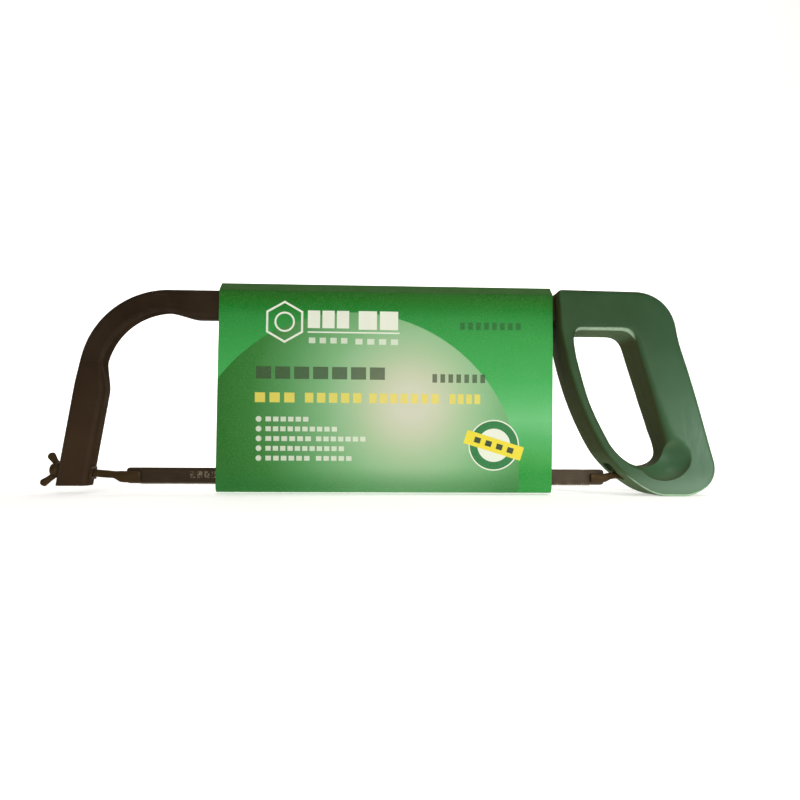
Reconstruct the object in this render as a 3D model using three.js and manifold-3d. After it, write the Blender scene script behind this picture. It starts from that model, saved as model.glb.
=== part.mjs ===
// Hacksaw: a bent steel tube frame, a closed plastic D handle, a 300 mm blade that a wing nut tensions,
// and the printed card sleeve that it is sold in. Millimetres, +Z up, blade along X with its teeth down,
// handle at +X, flat sides facing -Y and +Y. Every X below counts from a plane near the blade's middle.
import * as THREE from "three";
import { mergeVertices } from "three/addons/utils/BufferGeometryUtils.js";
import Module from "manifold-3d";

const wasm = await Module();
wasm.setup();

// ---------------------------------------------------------------- driving dimensions
const GAP = 0.3; // between pieces that rest on each other
const PRESS_GAP = 0.15; // round a pressed pin

const HOLE_SPACING = 300;
const BLADE_MID_X = 2;
const BLADE_HALF = 154; // half the overall length
const BLADE_HEIGHT = 10.7;
const BLADE_THICK = 0.65;
const BLADE_Z = 11.2;
const BLADE_HOLE_R = 1.9;
const TOOTH_PITCH = 25.4 / 24;
const TOOTH_DEPTH = 0.55;
const TOOTHED_HALF = 145;

const TUBE_THICK = 13;
const TUBE_TALL = 18.2; // in the plane of the frame
const BEND_TALL = 14.2; // round the bend, where the tube is squeezed
const LEG_TALL = 19.8;
const LEG_FLARE = 1; // how far the leg's outer face stands out of the bend's
const TUBE_CORNER_R = 4.5;
const TUBE_WALL = 1.2;
const TUBE_TOP = 129.3;
const TUBE_END_X = 168; // inside the handle
const BEND_X = -124.2; // where the bend starts
const BEND_OUTER_R = 56.7;
const BEND_ANGLE = THREE.MathUtils.degToRad(80);
const LEG_BOTTOM = 5;

// The tension bolt's axis falls a little towards the blade. Lengths u run along it from this point.
const AXIS_AT = [-160, 11.95];
const AXIS_TILT = THREE.MathUtils.degToRad(4.5);
const SHANK = 4.6; // square shank of the tension bolt
const THREAD_R = 2.5;
const THREAD_START_U = -27;
const BOLT_END_U = -39.6;
const GUIDE_OUTER = 8;
const GUIDE_BORE = SHANK + 0.6;
const GUIDE_FLANGE = 9.6;
const GUIDE_FACE_U = -34.2;
const GUIDE_END_U = -12.4;
const WASHER_R = 4.8;
const WASHER_THICK = 0.7;
const SEAT_GAP = 0.2;

const NUT_HUB_R = 4.3;
const NUT_HUB_TIP_R = 3.6;
const NUT_HEIGHT = 3.6;
const NUT_WING_R = 2; // half the width of a wing
const NUT_WING_THICK = 2.4;
const NUT_WING_REACH = 9.5; // radius of the wing tip's centre
const NUT_WING_RISE = 5; // height of the wing tip's centre above the nut's seat
const NUT_REST_ANGLE = THREE.MathUtils.degToRad(-22);

const PIN_R = 1.6;
const PIN_REACH = 3; // past the blade's mid-plane
const PADDLE_FACE_Y = -0.65; // the paddles' flat side, next to the blade
const FRONT_PADDLE_Z = [7, 14.3];
const FRONT_PADDLE_END_X = -142.8;
const REAR_PADDLE_Z = [8.3, 13.6];
const REAR_PADDLE_END_X = 146.8;

const STEM = 4; // square stem of the rear anchor
const STEM_Z = 12.6;
const STEM_END_X = 191;
const SOCKET_X = [172, 184];
const SOCKET_OUTER = 8;
const SOCKET_BORE = STEM + 0.8;
const CROSS_PIN_R = 1.5;
const CROSS_PIN_HALF = 4.6;
const TENSION_TRAVEL = 3.3; // how far the anchors move when the wing nut is slackened

const HANDLE_HALF = 15; // half the handle's thickness
const HANDLE_EDGE_R = 2.4;
const HANDLE_TOP = [131.2, 130.6]; // at its front and at its back
const HANDLE_WALL = 3;
const SCOOP_AT = [190, 25]; // the hollowed corner of the opening, below the little finger
const SCOOP_SIZE = [17, 8.5, 15];
const SCREW_AT = [
  [127.2, 100],
  [186, 117],
  [197.5, 66],
  [210, 13],
];
const SCREW_HEAD_R = 2.8;
const SCREW_HEAD_DEEP = 3;
const SCREW_HEAD_THICK = 2.2;
const SCREW_R = 1.5;
const SCREW_TIP_Y = -9;
const BOSS_R = 4;
const RETAINING_PIN_AT = [150, 120.2];
const RETAINING_PIN_R = 2;
const RETAINING_PIN_HALF = 10.5;

const SLEEVE_X = [-93, 119.5];
const SLEEVE_Z = [1.4, 133.8];
const SLEEVE_HALF = 8.8;
const SLEEVE_WALL = 0.6;
const SLEEVE_TOP_R = 8.2;
const SLEEVE_BOTTOM_R = 6;

// ---------------------------------------------------------------- solids
function solidOf(geometry) {
  const bare = geometry.clone();
  bare.deleteAttribute("normal");
  bare.deleteAttribute("uv");
  const merged = mergeVertices(bare, 1e-4);
  return new wasm.Manifold(
    new wasm.Mesh({
      numProp: 3,
      vertProperties: new Float32Array(merged.attributes.position.array),
      triVerts: new Uint32Array(merged.index.array),
    }),
  );
}

function geometryOf(solid) {
  const mesh = solid.getMesh();
  const geometry = new THREE.BufferGeometry();
  geometry.setAttribute("position", new THREE.BufferAttribute(mesh.vertProperties, 3));
  geometry.setIndex(new THREE.BufferAttribute(mesh.triVerts, 1));
  geometry.computeVertexNormals();
  return geometry;
}

// The first geometry, joined with those in `add`, less those in `cut`.
function combine(base, { add = [], cut = [] }) {
  let solid = solidOf(base);
  for (const piece of add) {
    solid = solid.add(solidOf(piece));
  }
  for (const tool of cut) {
    solid = solid.subtract(solidOf(tool));
  }
  return geometryOf(solid);
}

function box([x0, x1], [y0, y1], [z0, z1]) {
  const geometry = new THREE.BoxGeometry(x1 - x0, y1 - y0, z1 - z0);
  return geometry.translate((x0 + x1) / 2, (y0 + y1) / 2, (z0 + z1) / 2);
}

// A square bar along X, centred on y = 0.
function squareBar([x0, x1], size, z) {
  return box([x0, x1], [-size / 2, size / 2], [z - size / 2, z + size / 2]);
}

function cylinderX(radius, [x0, x1], segments = 20, endRadius = radius) {
  const geometry = new THREE.CylinderGeometry(radius, endRadius, x1 - x0, segments);
  return geometry.rotateZ(Math.PI / 2).translate((x0 + x1) / 2, 0, 0);
}

function cylinderY(radius, [y0, y1], [x, z], segments = 20) {
  const geometry = new THREE.CylinderGeometry(radius, radius, y1 - y0, segments);
  return geometry.translate(x, (y0 + y1) / 2, z);
}

// A shape drawn in X and Z, extruded from y0 to y1.
function plate(shape, [y0, y1], options = {}) {
  const settings = { depth: y1 - y0, bevelEnabled: false, curveSegments: 6, ...options };
  return new THREE.ExtrudeGeometry(shape, settings).rotateX(Math.PI / 2).translate(0, y1, 0);
}

// A shape drawn in Y and Z, extruded from x0 to x1.
function bar(shape, [x0, x1], curveSegments = 4) {
  const settings = { depth: x1 - x0, bevelEnabled: false, curveSegments };
  const geometry = new THREE.ExtrudeGeometry(shape, settings);
  return geometry.rotateX(Math.PI / 2).rotateZ(Math.PI / 2).translate(x0, 0, 0);
}

// A rounded rectangle with its own radius at the top and at the bottom.
function roundedRect([a0, a1], [b0, b1], topR, bottomR = topR) {
  const shape = new THREE.Shape();
  shape.moveTo(a0 + bottomR, b0);
  shape.lineTo(a1 - bottomR, b0);
  shape.absarc(a1 - bottomR, b0 + bottomR, bottomR, -Math.PI / 2, 0);
  shape.lineTo(a1, b1 - topR);
  shape.absarc(a1 - topR, b1 - topR, topR, 0, Math.PI / 2);
  shape.lineTo(a0 + topR, b1);
  shape.absarc(a0 + topR, b1 - topR, topR, Math.PI / 2, Math.PI);
  shape.lineTo(a0, b0 + bottomR);
  shape.absarc(a0 + bottomR, b0 + bottomR, bottomR, Math.PI, Math.PI * 1.5);
  return shape;
}

function polygon(points) {
  return new THREE.Shape(points.map(([x, z]) => new THREE.Vector2(x, z)));
}

// ---------------------------------------------------------------- frame tube
const BEND_CENTRE_Z = TUBE_TOP - BEND_OUTER_R;
const STRAIGHT = TUBE_END_X - BEND_X;
const BEND_LENGTH = BEND_OUTER_R * BEND_ANGLE;
const LEG_LENGTH = 90;
const LEG_LEAN = Math.PI / 2 - BEND_ANGLE;

// The point of the tube's outer edge at length s from the end in the handle, and its outward direction.
function outerEdge(s) {
  if (s < STRAIGHT) {
    return { x: TUBE_END_X - s, z: TUBE_TOP, outX: 0, outZ: 1 };
  }
  const angle = Math.min((s - STRAIGHT) / BEND_OUTER_R, BEND_ANGLE);
  const along = Math.max(s - STRAIGHT - BEND_LENGTH, 0);
  const outX = -Math.sin(angle);
  const outZ = Math.cos(angle);
  return {
    x: BEND_X + BEND_OUTER_R * outX - along * outZ,
    z: BEND_CENTRE_Z + BEND_OUTER_R * outZ + along * outX,
    outX,
    outZ,
  };
}

const SQUEEZE_START = STRAIGHT - 18;
const FLARE_END = STRAIGHT + BEND_LENGTH + 16;

// The tube's size in the frame's plane, and how far its outer side stands out of the outer edge.
function tubeAt(s) {
  const squeezed = THREE.MathUtils.smoothstep(s, SQUEEZE_START, STRAIGHT + 4);
  const flared = THREE.MathUtils.smoothstep(s, STRAIGHT + BEND_LENGTH - 6, FLARE_END);
  const tall = THREE.MathUtils.lerp(TUBE_TALL, BEND_TALL, squeezed);
  return { tall: THREE.MathUtils.lerp(tall, LEG_TALL, flared), out: LEG_FLARE * flared };
}

// A straight extrusion of the section with one step per station, bent along the outer edge.
function bentTube(section, stations) {
  const settings = { depth: stations.length - 1, steps: stations.length - 1, bevelEnabled: false };
  const geometry = new THREE.ExtrudeGeometry(section, { ...settings, curveSegments: 2 });
  const position = geometry.attributes.position;
  for (let i = 0; i < position.count; i++) {
    const s = stations[Math.round(position.getZ(i))];
    const edge = outerEdge(s);
    const { tall, out } = tubeAt(s);
    const offset = out - (TUBE_TALL / 2 - position.getY(i)) * (tall / TUBE_TALL);
    position.setXYZ(i, edge.x + offset * edge.outX, -position.getX(i), edge.z + offset * edge.outZ);
  }
  return geometry;
}

function tubeSection(inset) {
  const halfThick = TUBE_THICK / 2 - inset;
  const halfTall = TUBE_TALL / 2 - inset;
  return roundedRect([-halfThick, halfThick], [-halfTall, halfTall], TUBE_CORNER_R - inset);
}

function tubeStations() {
  const stations = [0];
  const steps = 28;
  for (let i = 0; i <= steps; i++) {
    stations.push(THREE.MathUtils.lerp(SQUEEZE_START, FLARE_END, i / steps));
  }
  stations.push(STRAIGHT + BEND_LENGTH + LEG_LENGTH);
  return stations;
}

// X of the leg's outer face at height z.
function legOuterX(z) {
  const top = outerEdge(STRAIGHT + BEND_LENGTH);
  const edgeX = top.x + LEG_FLARE * top.outX;
  const edgeZ = top.z + LEG_FLARE * top.outZ;
  return edgeX - (edgeZ - z) * Math.tan(LEG_LEAN);
}

function frameTube() {
  const section = tubeSection(0);
  section.holes.push(tubeSection(TUBE_WALL));
  const guideHole = alongBolt(squareBar([-50, 0], GUIDE_OUTER + 2 * PRESS_GAP, 0));
  const belowLeg = box([-230, -150], [-20, 20], [-20, LEG_BOTTOM]);
  const pinHole = cylinderY(RETAINING_PIN_R + PRESS_GAP, [-20, 20], RETAINING_PIN_AT);
  return combine(bentTube(section, tubeStations()), { cut: [guideHole, belowLeg, pinHole] });
}

// A plug that fills the leg's open end below the tension guide.
function legEndPlug() {
  const top = STRAIGHT + BEND_LENGTH;
  const core = bentTube(tubeSection(TUBE_WALL + PRESS_GAP), [top + 60, top + LEG_LENGTH]);
  const under = box([-230, -150], [-20, 20], [-20, LEG_BOTTOM]);
  const over = alongBolt(box([-50, 0], [-20, 20], [-GUIDE_OUTER / 2 - GAP, 60]));
  return combine(core, { cut: [under, over] });
}

// ---------------------------------------------------------------- tension gear at the leg
// Turns and moves a geometry whose axis is the X axis onto the tension bolt's axis.
function alongBolt(geometry) {
  return geometry.rotateY(AXIS_TILT).translate(AXIS_AT[0], 0, AXIS_AT[1]);
}

// A square guide through the leg, with a flange that turns the leg's slant into a square seat.
function tensionGuide() {
  const half = GUIDE_FLANGE / 2;
  const flange = alongBolt(box([GUIDE_FACE_U, GUIDE_FACE_U + 5], [-half, half], [-half, half]));
  const sleeve = alongBolt(squareBar([GUIDE_FACE_U, GUIDE_END_U], GUIDE_OUTER, 0));
  const bore = alongBolt(squareBar([GUIDE_FACE_U - 5, GUIDE_END_U + 5], GUIDE_BORE, 0));
  const legSpace = box([-GAP, 60], [-20, 20], [-80, 80]);
  legSpace.rotateY(LEG_LEAN).translate(legOuterX(LEG_BOTTOM), 0, LEG_BOTTOM);
  const trimmed = combine(flange, { cut: [legSpace] });
  return combine(trimmed, { add: [sleeve], cut: [bore] });
}

// A ring about the X axis, from a closed profile of [radius, u] points.
function ring(profile, segments = 24) {
  const points = [...profile, profile[0]].map(([r, u]) => new THREE.Vector2(r, -u));
  return new THREE.LatheGeometry(points, segments).rotateZ(Math.PI / 2);
}

const WASHER_U = GUIDE_FACE_U - SEAT_GAP - WASHER_THICK;
const NUT_SEAT_U = WASHER_U - SEAT_GAP;

function flatWasher() {
  const bore = THREAD_R + GAP;
  return alongBolt(
    ring([
      [bore, WASHER_U + WASHER_THICK],
      [WASHER_R, WASHER_U + WASHER_THICK],
      [WASHER_R, WASHER_U],
      [bore, WASHER_U],
    ]),
  );
}

// One wing of the nut, a round-ended bar that leans outwards from the hub.
function nutWing(side) {
  const root = new THREE.Vector2(NUT_SEAT_U - 1.9, side * 3.8);
  const tip = new THREE.Vector2(NUT_SEAT_U - NUT_WING_RISE, side * NUT_WING_REACH);
  const lean = Math.atan2(tip.y - root.y, tip.x - root.x);
  const shape = new THREE.Shape();
  shape.absarc(tip.x, tip.y, NUT_WING_R, lean - Math.PI / 2, lean + Math.PI / 2);
  shape.absarc(root.x, root.y, NUT_WING_R - 0.2, lean + Math.PI / 2, lean + Math.PI * 1.5);
  const bevel = 0.6;
  const half = NUT_WING_THICK / 2 - bevel;
  return plate(shape, [-half, half], {
    bevelEnabled: true,
    bevelThickness: bevel,
    bevelSize: bevel,
    bevelOffset: -bevel,
    bevelSegments: 2,
  });
}

function wingNut() {
  const base = cylinderX(NUT_HUB_R, [NUT_SEAT_U - 0.8, NUT_SEAT_U], 24);
  const cone = cylinderX(NUT_HUB_TIP_R, [NUT_SEAT_U - NUT_HEIGHT, NUT_SEAT_U], 24, NUT_HUB_R);
  const bore = cylinderX(THREAD_R + GAP, [NUT_SEAT_U - 20, NUT_SEAT_U + 5]);
  const nut = combine(base, { add: [cone, nutWing(1), nutWing(-1)], cut: [bore] });
  return alongBolt(nut.rotateX(NUT_REST_ANGLE));
}

// ---------------------------------------------------------------- anchors, pins and blade
const FRONT_HOLE_X = BLADE_MID_X - HOLE_SPACING / 2;
const REAR_HOLE_X = BLADE_MID_X + HOLE_SPACING / 2;
const PIN_ROOT_Y = -1.9; // how deep the blade pins are set into the paddles

function pinSocket(x) {
  return cylinderY(PIN_R + PRESS_GAP, [PIN_ROOT_Y - PRESS_GAP, 10], [x, BLADE_Z]);
}

// A rod that is threaded outside the leg, square through it, and flattened beside the blade.
function tensionBolt() {
  const half = SHANK / 2;
  const [low, high] = FRONT_PADDLE_Z;
  const end = FRONT_PADDLE_END_X;
  const [axisX, axisZ] = AXIS_AT;
  const shank = alongBolt(squareBar([THREAD_START_U, 0], SHANK, 0));
  const thread = alongBolt(cylinderX(THREAD_R, [BOLT_END_U, THREAD_START_U + 1]));
  const paddle = plate(
    polygon([
      [axisX - 3, axisZ - half],
      [axisX - 3, axisZ + half],
      [axisX + 3, high - 0.1],
      [end - 0.8, high],
      [end, high - 0.8],
      [end, low + 0.8],
      [end - 0.8, low],
      [axisX + 8, low],
      [axisX + 4.5, low + 0.9],
      [axisX + 1.5, axisZ - half],
    ]),
    [-half, PADDLE_FACE_Y],
  );
  return combine(shank, { add: [thread, paddle], cut: [pinSocket(FRONT_HOLE_X)] });
}

// The fixed end's anchor: a paddle beside the blade and a square stem that runs into the handle.
function rearAnchor() {
  const half = STEM / 2;
  const [low, high] = REAR_PADDLE_Z;
  const start = REAR_PADDLE_END_X;
  const stem = squareBar([159.5, STEM_END_X], STEM, STEM_Z);
  const paddle = plate(
    polygon([
      [start, low + 0.6],
      [start, high - 0.6],
      [start + 0.6, high],
      [156, high + 0.2],
      [159, STEM_Z + half],
      [163, STEM_Z + half],
      [163, STEM_Z - half],
      [160.5, STEM_Z - half],
      [157, low],
      [start + 0.6, low],
    ]),
    [-half - 0.4, PADDLE_FACE_Y],
  );
  const crossHole = cylinderY(CROSS_PIN_R + PRESS_GAP, [-9, 9], [CROSS_PIN_X, STEM_Z]);
  return combine(stem, { add: [paddle], cut: [pinSocket(REAR_HOLE_X), crossHole] });
}

function bladePin(x) {
  return cylinderY(PIN_R, [PIN_ROOT_Y, PIN_REACH], [x, BLADE_Z]);
}

const CROSS_PIN_X = SOCKET_X[1] + GAP + CROSS_PIN_R;

function anchorCrossPin() {
  return cylinderY(CROSS_PIN_R, [-CROSS_PIN_HALF, CROSS_PIN_HALF], [CROSS_PIN_X, STEM_Z]);
}

// A square steel liner in the handle that the cross pin bears on.
function anchorSocket() {
  const bore = squareBar([SOCKET_X[0] - 5, SOCKET_X[1] + 5], SOCKET_BORE, STEM_Z);
  return combine(squareBar(SOCKET_X, SOCKET_OUTER, STEM_Z), { cut: [bore] });
}

// A flat strip with round holes and a row of raked teeth along its lower edge.
function sawBlade() {
  const left = BLADE_MID_X - BLADE_HALF;
  const right = BLADE_MID_X + BLADE_HALF;
  const low = BLADE_Z - BLADE_HEIGHT / 2;
  const root = low + TOOTH_DEPTH;
  const high = BLADE_Z + BLADE_HEIGHT / 2;
  const corner = 1.5;
  const shape = new THREE.Shape();
  shape.moveTo(left, root + corner);
  shape.lineTo(left + corner, root);
  const teeth = Math.floor((2 * TOOTHED_HALF) / TOOTH_PITCH);
  for (let i = 0; i < teeth; i++) {
    const x = BLADE_MID_X - TOOTHED_HALF + i * TOOTH_PITCH;
    shape.lineTo(x, root);
    shape.lineTo(x + 0.08, low);
  }
  shape.lineTo(BLADE_MID_X + TOOTHED_HALF, root);
  shape.lineTo(right - corner, root);
  shape.lineTo(right, root + corner);
  shape.lineTo(right, high - corner);
  shape.lineTo(right - corner, high);
  shape.lineTo(left + corner, high);
  shape.lineTo(left, high - corner);
  for (const x of [FRONT_HOLE_X, REAR_HOLE_X]) {
    const hole = new THREE.Path();
    hole.absarc(x, BLADE_Z, BLADE_HOLE_R, 0, Math.PI * 2);
    shape.holes.push(hole);
  }
  return plate(shape, [-BLADE_THICK / 2, BLADE_THICK / 2], { curveSegments: 12 });
}

// ---------------------------------------------------------------- handle
function handleOutline() {
  const shape = new THREE.Shape();
  const [frontTop, backTop] = HANDLE_TOP;
  shape.moveTo(122.6, 106);
  shape.lineTo(121.4, frontTop - 5);
  shape.quadraticCurveTo(121.4, frontTop, 126.5, frontTop);
  shape.lineTo(172, backTop);
  shape.bezierCurveTo(184, backTop - 0.5, 195.6, 122, 198, 107);
  shape.splineThru([
    new THREE.Vector2(200.4, 97),
    new THREE.Vector2(206.4, 79),
    new THREE.Vector2(212.8, 58.5),
    new THREE.Vector2(219.6, 35),
    new THREE.Vector2(223.6, 21.5),
  ]);
  shape.bezierCurveTo(225.6, 10.5, 219, 2.5, 206, 0);
  shape.lineTo(188, 0);
  shape.bezierCurveTo(177, 2, 170, 7.5, 160.4, 15.6);
  shape.splineThru([
    new THREE.Vector2(150, 29),
    new THREE.Vector2(137.8, 54),
    new THREE.Vector2(128.6, 80),
    new THREE.Vector2(122.6, 106),
  ]);
  return shape;
}

function openingOutline() {
  const path = new THREE.Path();
  path.moveTo(136, 105.4);
  path.bezierCurveTo(129.5, 105.4, 131.8, 97, 133.4, 88);
  path.splineThru([new THREE.Vector2(142.2, 59), new THREE.Vector2(154.7, 34)]);
  path.bezierCurveTo(160, 26, 168, 18.8, 180, 18.8);
  path.bezierCurveTo(191, 18.8, 196, 25.5, 193.2, 35);
  path.splineThru([new THREE.Vector2(183, 67.5), new THREE.Vector2(172, 97.5)]);
  path.quadraticCurveTo(169, 105.4, 161, 105.4);
  path.lineTo(136, 105.4);
  return path;
}

// The hollow inside the back of the grip, drawn a wall's thickness inside the outline.
function gripHollow() {
  return polygon([
    [179, 125.5],
    [186, 123],
    [194, 109],
    [202.5, 80],
    [219.5, 22],
    [217.5, 9],
    [207, 3.5],
    [200, 3.5],
    [199, 26],
    [187, 68],
    [177, 97],
    [178.5, 108],
  ]);
}

// A half of the handle: side is -1 for the near shell and 1 for the far one.
function handleShell(side) {
  const face = side * HANDLE_HALF;
  const parting = (side * GAP) / 2;
  const across = (a, b) => (a < b ? [a, b] : [b, a]);
  const outline = handleOutline();
  outline.holes.push(openingOutline());
  const block = plate(outline, [-HANDLE_HALF + HANDLE_EDGE_R, HANDLE_HALF - HANDLE_EDGE_R], {
    bevelEnabled: true,
    bevelThickness: HANDLE_EDGE_R,
    bevelSize: HANDLE_EDGE_R,
    bevelOffset: -HANDLE_EDGE_R,
    bevelSegments: 3,
    curveSegments: 4,
  });
  const otherHalf = box([100, 240], across(parting, -side * 30), [-10, 150]);
  const hollow = solidOf(plate(gripHollow(), across(parting - side, face - side * HANDLE_WALL)));
  const bosses = SCREW_AT.map((at) => cylinderY(BOSS_R, across(-side, face), at));
  const hollowTool = bosses.reduce((rest, boss) => rest.subtract(solidOf(boss)), hollow);
  return combine(block, {
    cut: [otherHalf, geometryOf(hollowTool), scoop(face), ...handleChannels(), ...screwHoles(side)],
  });
}

// An ellipsoid centred on a face of the handle.
function scoop(face) {
  const [x, z] = SCOOP_AT;
  return new THREE.SphereGeometry(1, 20, 12).scale(...SCOOP_SIZE).translate(x, face, z);
}

// The spaces in the handle for the tube, its pin, the anchor and the blade's end.
function handleChannels() {
  const half = TUBE_THICK / 2 + GAP;
  const tubeZ = [TUBE_TOP - TUBE_TALL - GAP, TUBE_TOP + GAP];
  const tube = roundedRect([-half, half], tubeZ, TUBE_CORNER_R + GAP);
  const pinHalf = RETAINING_PIN_HALF + GAP;
  const tail = STEM / 2 + 1.2;
  return [
    bar(tube, [110, TUBE_END_X + GAP]),
    cylinderY(RETAINING_PIN_R + PRESS_GAP, [-pinHalf, pinHalf], RETAINING_PIN_AT),
    box([145, 161.5], [-7.4, 7.4], [3, 18.4]),
    squareBar([155, SOCKET_X[0]], STEM + 1.2, STEM_Z),
    squareBar([SOCKET_X[0] - GAP, SOCKET_X[1] + 0.1], SOCKET_OUTER + 2 * GAP, STEM_Z),
    box([SOCKET_X[1], STEM_END_X + TENSION_TRAVEL + 1], [-5.2, 5.2], [STEM_Z - tail, STEM_Z + tail]),
  ];
}

// The far shell is counterbored for the screw heads, and the near shell takes their threads.
function screwHoles(side) {
  return SCREW_AT.flatMap((at) => {
    const shank = cylinderY(SCREW_R + PRESS_GAP, [SCREW_TIP_Y - 1, 20], at, 12);
    const head = cylinderY(SCREW_HEAD_R + GAP, [HANDLE_HALF - SCREW_HEAD_DEEP - SCREW_HEAD_THICK, 20], at);
    return side > 0 ? [shank, head] : [shank];
  });
}

function handleScrew(at) {
  const headY = HANDLE_HALF - SCREW_HEAD_DEEP;
  const seatY = headY - SCREW_HEAD_THICK + GAP;
  const head = cylinderY(SCREW_HEAD_R, [seatY, headY], at);
  const shank = cylinderY(SCREW_R, [SCREW_TIP_Y, seatY + 0.5], at, 12);
  const [x, z] = at;
  const slot = [headY - 1.2, headY + 1];
  const crossA = box([x - 1.8, x + 1.8], slot, [z - 0.45, z + 0.45]);
  const crossB = box([x - 0.45, x + 0.45], slot, [z - 1.8, z + 1.8]);
  return combine(head, { add: [shank], cut: [crossA, crossB] });
}

function retainingPin() {
  return cylinderY(RETAINING_PIN_R, [-RETAINING_PIN_HALF, RETAINING_PIN_HALF], RETAINING_PIN_AT);
}

// ---------------------------------------------------------------- card sleeve
function cardSleeve() {
  const [low, high] = SLEEVE_Z;
  const outer = roundedRect([-SLEEVE_HALF, SLEEVE_HALF], [low, high], SLEEVE_TOP_R, SLEEVE_BOTTOM_R);
  const inner = SLEEVE_HALF - SLEEVE_WALL;
  const hollow = roundedRect(
    [-inner, inner],
    [low + SLEEVE_WALL, high - SLEEVE_WALL],
    SLEEVE_TOP_R - SLEEVE_WALL,
    SLEEVE_BOTTOM_R - SLEEVE_WALL,
  );
  outer.holes.push(hollow);
  return bar(outer, SLEEVE_X, 6);
}

// ---------------------------------------------------------------- materials and assembly
const FINISHES = {
  frame_paint: { color: 0x3b3129, roughness: 0.45, metalness: 0.3 },
  handle_plastic: { color: 0x2f5f47, roughness: 0.42, metalness: 0 },
  blade_steel: { color: 0x41362c, roughness: 0.4, metalness: 0.8 },
  hardware_steel: { color: 0x4a4138, roughness: 0.4, metalness: 0.8 },
  bright_steel: { color: 0x8d8f90, roughness: 0.3, metalness: 1 },
  plug_plastic: { color: 0x1a1a1a, roughness: 0.6, metalness: 0 },
  printed_card: { color: 0x2f9a52, roughness: 0.35, metalness: 0 },
};

const saw = new THREE.Group();

function place(name, geometry, finish) {
  const mesh = new THREE.Mesh(geometry, new THREE.MeshStandardMaterial(FINISHES[finish]));
  mesh.name = name;
  saw.add(mesh);
}

place("frame_tube", frameTube(), "frame_paint");
place("leg_end_plug", legEndPlug(), "plug_plastic");
place("tension_guide", tensionGuide(), "hardware_steel");
place("flat_washer", flatWasher(), "hardware_steel");
place("wing_nut", wingNut(), "hardware_steel");
place("tension_bolt", tensionBolt(), "hardware_steel");
place("front_blade_pin", bladePin(FRONT_HOLE_X), "bright_steel");
place("saw_blade", sawBlade(), "blade_steel");
place("rear_blade_pin", bladePin(REAR_HOLE_X), "bright_steel");
place("rear_anchor", rearAnchor(), "hardware_steel");
place("anchor_cross_pin", anchorCrossPin(), "bright_steel");
place("anchor_socket", anchorSocket(), "bright_steel");
place("handle_shell_near", handleShell(-1), "handle_plastic");
place("handle_shell_far", handleShell(1), "handle_plastic");
SCREW_AT.forEach((at, i) => place(`handle_screw_${i + 1}`, handleScrew(at), "bright_steel"));
place("tube_retaining_pin", retainingPin(), "bright_steel");
place("card_sleeve", cardSleeve(), "printed_card");

// The origin lies on the ground below the middle of the overall length.
const extent = new THREE.Box3().setFromObject(saw);
saw.position.x = -(extent.min.x + extent.max.x) / 2;

export default saw;
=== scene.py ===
# Looks for the hacksaw, built round its CAD frame. Shapes are worked out in millimetres, with X counted
# from a plane near the blade's middle, Y across the saw (the near side is -Y) and Z up. metres() turns
# them into the frame's own metres.
import math

import bmesh
import bpy
import numpy as np
from mathutils import Matrix, Vector, noise


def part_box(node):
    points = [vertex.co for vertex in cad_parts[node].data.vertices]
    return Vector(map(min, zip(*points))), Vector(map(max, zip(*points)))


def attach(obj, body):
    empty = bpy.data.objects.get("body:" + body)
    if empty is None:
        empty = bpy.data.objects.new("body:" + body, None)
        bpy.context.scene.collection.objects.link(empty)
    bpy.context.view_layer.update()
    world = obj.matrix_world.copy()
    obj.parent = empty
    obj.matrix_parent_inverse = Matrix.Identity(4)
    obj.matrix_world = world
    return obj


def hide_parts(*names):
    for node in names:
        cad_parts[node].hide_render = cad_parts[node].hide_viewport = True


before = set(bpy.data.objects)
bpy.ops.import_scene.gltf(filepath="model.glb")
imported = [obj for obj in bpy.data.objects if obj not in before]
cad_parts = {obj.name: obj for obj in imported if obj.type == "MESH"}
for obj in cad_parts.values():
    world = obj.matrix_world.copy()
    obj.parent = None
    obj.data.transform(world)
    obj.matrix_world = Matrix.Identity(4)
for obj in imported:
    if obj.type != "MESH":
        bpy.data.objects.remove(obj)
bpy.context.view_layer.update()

MM = 0.001
BLADE_MID_X = 2.0  # the blade's middle in the shape code's millimetres
blade_low, blade_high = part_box("saw_blade")
SHIFT_X = BLADE_MID_X - (blade_low.x + blade_high.x) / 2 / MM


def metres(point):
    x, y, z = point
    return ((x - SHIFT_X) * MM, y * MM, z * MM)


# ---------------------------------------------------------------- small helpers
def lerp(a, b, t):
    return a + (b - a) * t


def smoothstep(value, low, high):
    t = min(max((value - low) / (high - low), 0.0), 1.0)
    return t * t * (3 - 2 * t)


def mesh_object(name, points, faces):
    """A new object from points in millimetres, with its faces turned outwards."""
    mesh = bpy.data.meshes.new(name)
    mesh.from_pydata([metres(p) for p in points], [], faces)
    shape = bmesh.new()
    shape.from_mesh(mesh)
    bmesh.ops.remove_doubles(shape, verts=shape.verts, dist=1e-7)
    bmesh.ops.recalc_face_normals(shape, faces=shape.faces)
    shape.to_mesh(mesh)
    shape.free()
    made = bpy.data.objects.new(name, mesh)
    bpy.context.scene.collection.objects.link(made)
    return made


def tube_faces(rings, around, loop=False):
    """Quads between rings of `around` points. A loop joins its last ring to its first, others are capped."""
    faces = []
    for i in range(rings if loop else rings - 1):
        here, there = i * around, ((i + 1) % rings) * around
        for k in range(around):
            m = (k + 1) % around
            faces.append((here + k, here + m, there + m, there + k))
    if not loop:
        faces.append(tuple(range(around))[::-1])
        faces.append(tuple(range((rings - 1) * around, rings * around)))
    return faces


def skin(name, rings, loop=False):
    """A closed surface through rings that all have the same number of points."""
    points = [p for ring in rings for p in ring]
    return mesh_object(name, points, tube_faces(len(rings), len(rings[0]), loop))


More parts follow.
